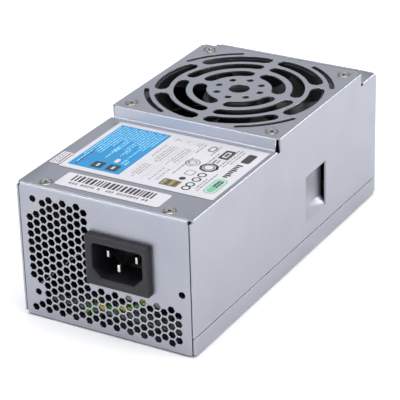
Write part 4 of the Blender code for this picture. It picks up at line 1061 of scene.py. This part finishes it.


# ---------------- inside parts
# Ferrite cores, taped windings, sleeved capacitors, aluminium heatsinks and moulded packages, each in its
# own finish; the x capacitor is coloured near black as painted shade. They show only in part through the
# vents and the grille.
# The lighter edges given to ferrite, aluminium and the packages are painted highlight.
ferrite = worked_finish(
    "ferrite", (0.035, 0.036, 0.04), (0.065, 0.066, 0.07), (0.45, 0.65), cloud=150.0, grain=1800.0,
    bump=0.00003, edge=(0.11, 0.11, 0.115))
yellow_tape = worked_finish(
    "yellow_tape", (0.60, 0.40, 0.03), (0.80, 0.58, 0.07), (0.25, 0.4), cloud=80.0, grain=900.0,
    stretch=0.1, bump=0.00003)
mill_aluminium = worked_finish(
    "mill_aluminium", (0.60, 0.60, 0.61), (0.74, 0.74, 0.75), (0.28, 0.42), metallic=1.0, cloud=60.0,
    grain=1600.0, stretch=0.08, bump=0.00001, edge=(0.88, 0.88, 0.88))
dark_sleeve = worked_finish("dark_sleeve", (0.010, 0.014, 0.05), (0.02, 0.028, 0.09), (0.2, 0.32), cloud=60.0)
package_black = worked_finish(
    "package_black", (0.016, 0.016, 0.016), (0.032, 0.032, 0.032), (0.45, 0.62), cloud=300.0,
    grain=3000.0, bump=0.00002, edge=(0.08, 0.08, 0.08))
# Near-black blue for the x capacitor stands in for the shade inside the case: painted shade, with painted
# highlight on its edges.
film_case = worked_finish(
    "film_case", (0.016, 0.018, 0.03), (0.03, 0.034, 0.05), (0.35, 0.5), cloud=90.0, bump=0.00001,
    edge=(0.07, 0.07, 0.09))
for slot, finish, members in (
        ("ferrite", ferrite, ("boost_choke_core", "main_transformer_core", "standby_transformer_core",
                              "filter_choke_core", "output_choke_core")),
        ("winding_tape", yellow_tape, ("boost_choke_winding", "main_transformer_winding",
                                       "standby_transformer_winding")),
        ("heatsink_aluminium", mill_aluminium, ("primary_heatsink", "secondary_heatsink")),
        ("capacitor_sleeve", dark_sleeve, ("bulk_capacitor", "output_capacitor_1", "output_capacitor_2",
                                           "output_capacitor_3")),
        ("winding_tape", film_case, ("x_capacitor",)),
        ("transistor_epoxy", package_black, ("primary_transistor", "output_rectifier", "bridge_rectifier")),
        ("fuse_glass", film_clear, ("fuse",)),
        ("black_plastic", inlet_black, ("cable_grommet",))):
    for member in members:
        place_copy(member, finish)


# ---------------- choke windings
# Enamelled copper wire wound round the two ring cores, turn beside turn, over most of the ring. One turn
# is bent here and a node tree sets it round the core.
WIRE_RADIUS = 0.00062
LOOSENESS = 0.0003


def one_turn(name, inner, outer, half_width, axis):
    """Closed loop of round wire about a ring core's section, standing on the ring's first radius."""
    inner_path = inner - LOOSENESS - WIRE_RADIUS
    outer_path = outer + LOOSENESS + WIRE_RADIUS
    side = half_width + LOOSENESS + WIRE_RADIUS
    corner = 0.0009
    centres = ((outer_path - corner, side - corner), (inner_path + corner, side - corner),
               (inner_path + corner, corner - side), (outer_path - corner, corner - side))
    path = []
    for quarter, (u, w) in enumerate(centres):
        for k in range(4):
            angle = math.pi / 2 * (quarter + k / 3)
            path.append((u + corner * math.cos(angle), w + corner * math.sin(angle)))
    shape = bmesh.new()
    rings = []
    sides = 8
    for k, (u, w) in enumerate(path):
        ahead, behind = path[(k + 1) % len(path)], path[k - 1]
        along = Vector((ahead[0] - behind[0], ahead[1] - behind[1])).normalized()
        ring = []
        for j in range(sides):
            angle = 2 * math.pi * j / sides
            out = WIRE_RADIUS * math.cos(angle)
            spot = (u + along.y * out, w - along.x * out, WIRE_RADIUS * math.sin(angle))
            ring.append(shape.verts.new(spot if axis == "Y" else (spot[0], spot[2], spot[1])))
        rings.append(ring)
    skin(shape, rings + rings[:1])
    return add_piece(name, closed_mesh(name, shape))


def winding_tree(turn, axis, finish):
    """Copies one turn round the core's axis from a start angle over a sweep, each a little askew."""
    tree, given, out = geometry_tree(f"wind_{turn.name}", {"Turns": 12, "Start": 0.5, "Sweep": 5.0,
                                                          "Askew": 0.02, "Askew Seed": 4})
    copies = tree.nodes.new("GeometryNodeDuplicateElements")
    copies.domain = "POINT"
    join(tree, given.outputs["Geometry"], copies.inputs["Geometry"])
    join(tree, given.outputs["Turns"], copies.inputs["Amount"])
    gaps = number(tree, "SUBTRACT", given.outputs["Turns"], 1.0)
    share = number(tree, "DIVIDE", copies.outputs["Duplicate Index"], gaps)
    swept = number(tree, "MULTIPLY", share, given.outputs["Sweep"])
    angle = number(tree, "ADD", swept, given.outputs["Start"])
    askew = random_number(tree, -1.0, 1.0, given.outputs["Askew Seed"])
    turned = number(tree, "ADD", angle, number(tree, "MULTIPLY", askew, given.outputs["Askew"]))
    end_tree(tree, out, instances(tree, copies.outputs["Geometry"], turn, turned, axis), finish)
    return tree


def wind_core(name, finish):
    """Winding of one choke, sized from the box of its CAD core."""
    core_low, core_high = corners_of(f"{name}_core")
    size = core_high - core_low
    axis = "Y" if size.y < size.z else "Z"
    width, diameter = (size.y, size.z) if axis == "Y" else (size.z, size.y)
    centre = (core_low + core_high) / 2
    outer = diameter / 2
    inner = outer * CORE_BORE[name]
    turn = one_turn(f"{name}_turn", inner, outer, width / 2, axis)
    opening = math.radians(34.0)
    sweep = 2 * math.pi - 2 * opening
    wire_pitch = 2.05 * WIRE_RADIUS
    turns = int(sweep * (inner - LOOSENESS - WIRE_RADIUS) / wire_pitch)
    tree = winding_tree(turn, axis, finish)
    coil = grown_piece(f"{name}_wire", tree, [tuple(centre)], turns=turns, start=opening, sweep=sweep,
                       askew=0.012, askew_seed=6)
    bpy.data.objects.remove(turn)
    place_piece(coil, finish, "case", [f"{name}_winding"], 60)


# The filter choke's enamelled wire is coloured dark brown instead of copper as painted shade for the dark
# inside; its glossy coat is real.
dark_enamel = worked_finish(
    "dark_enamel", (0.05, 0.018, 0.010), (0.09, 0.034, 0.018), (0.2, 0.34), cloud=90.0, grain=1200.0,
    stretch=0.1, bump=0.00001, coat=0.6)
CORE_BORE = {"output_choke": 0.62, "filter_choke": 0.64}
wind_core("output_choke", coil_copper)
wind_core("filter_choke", dark_enamel)


import json
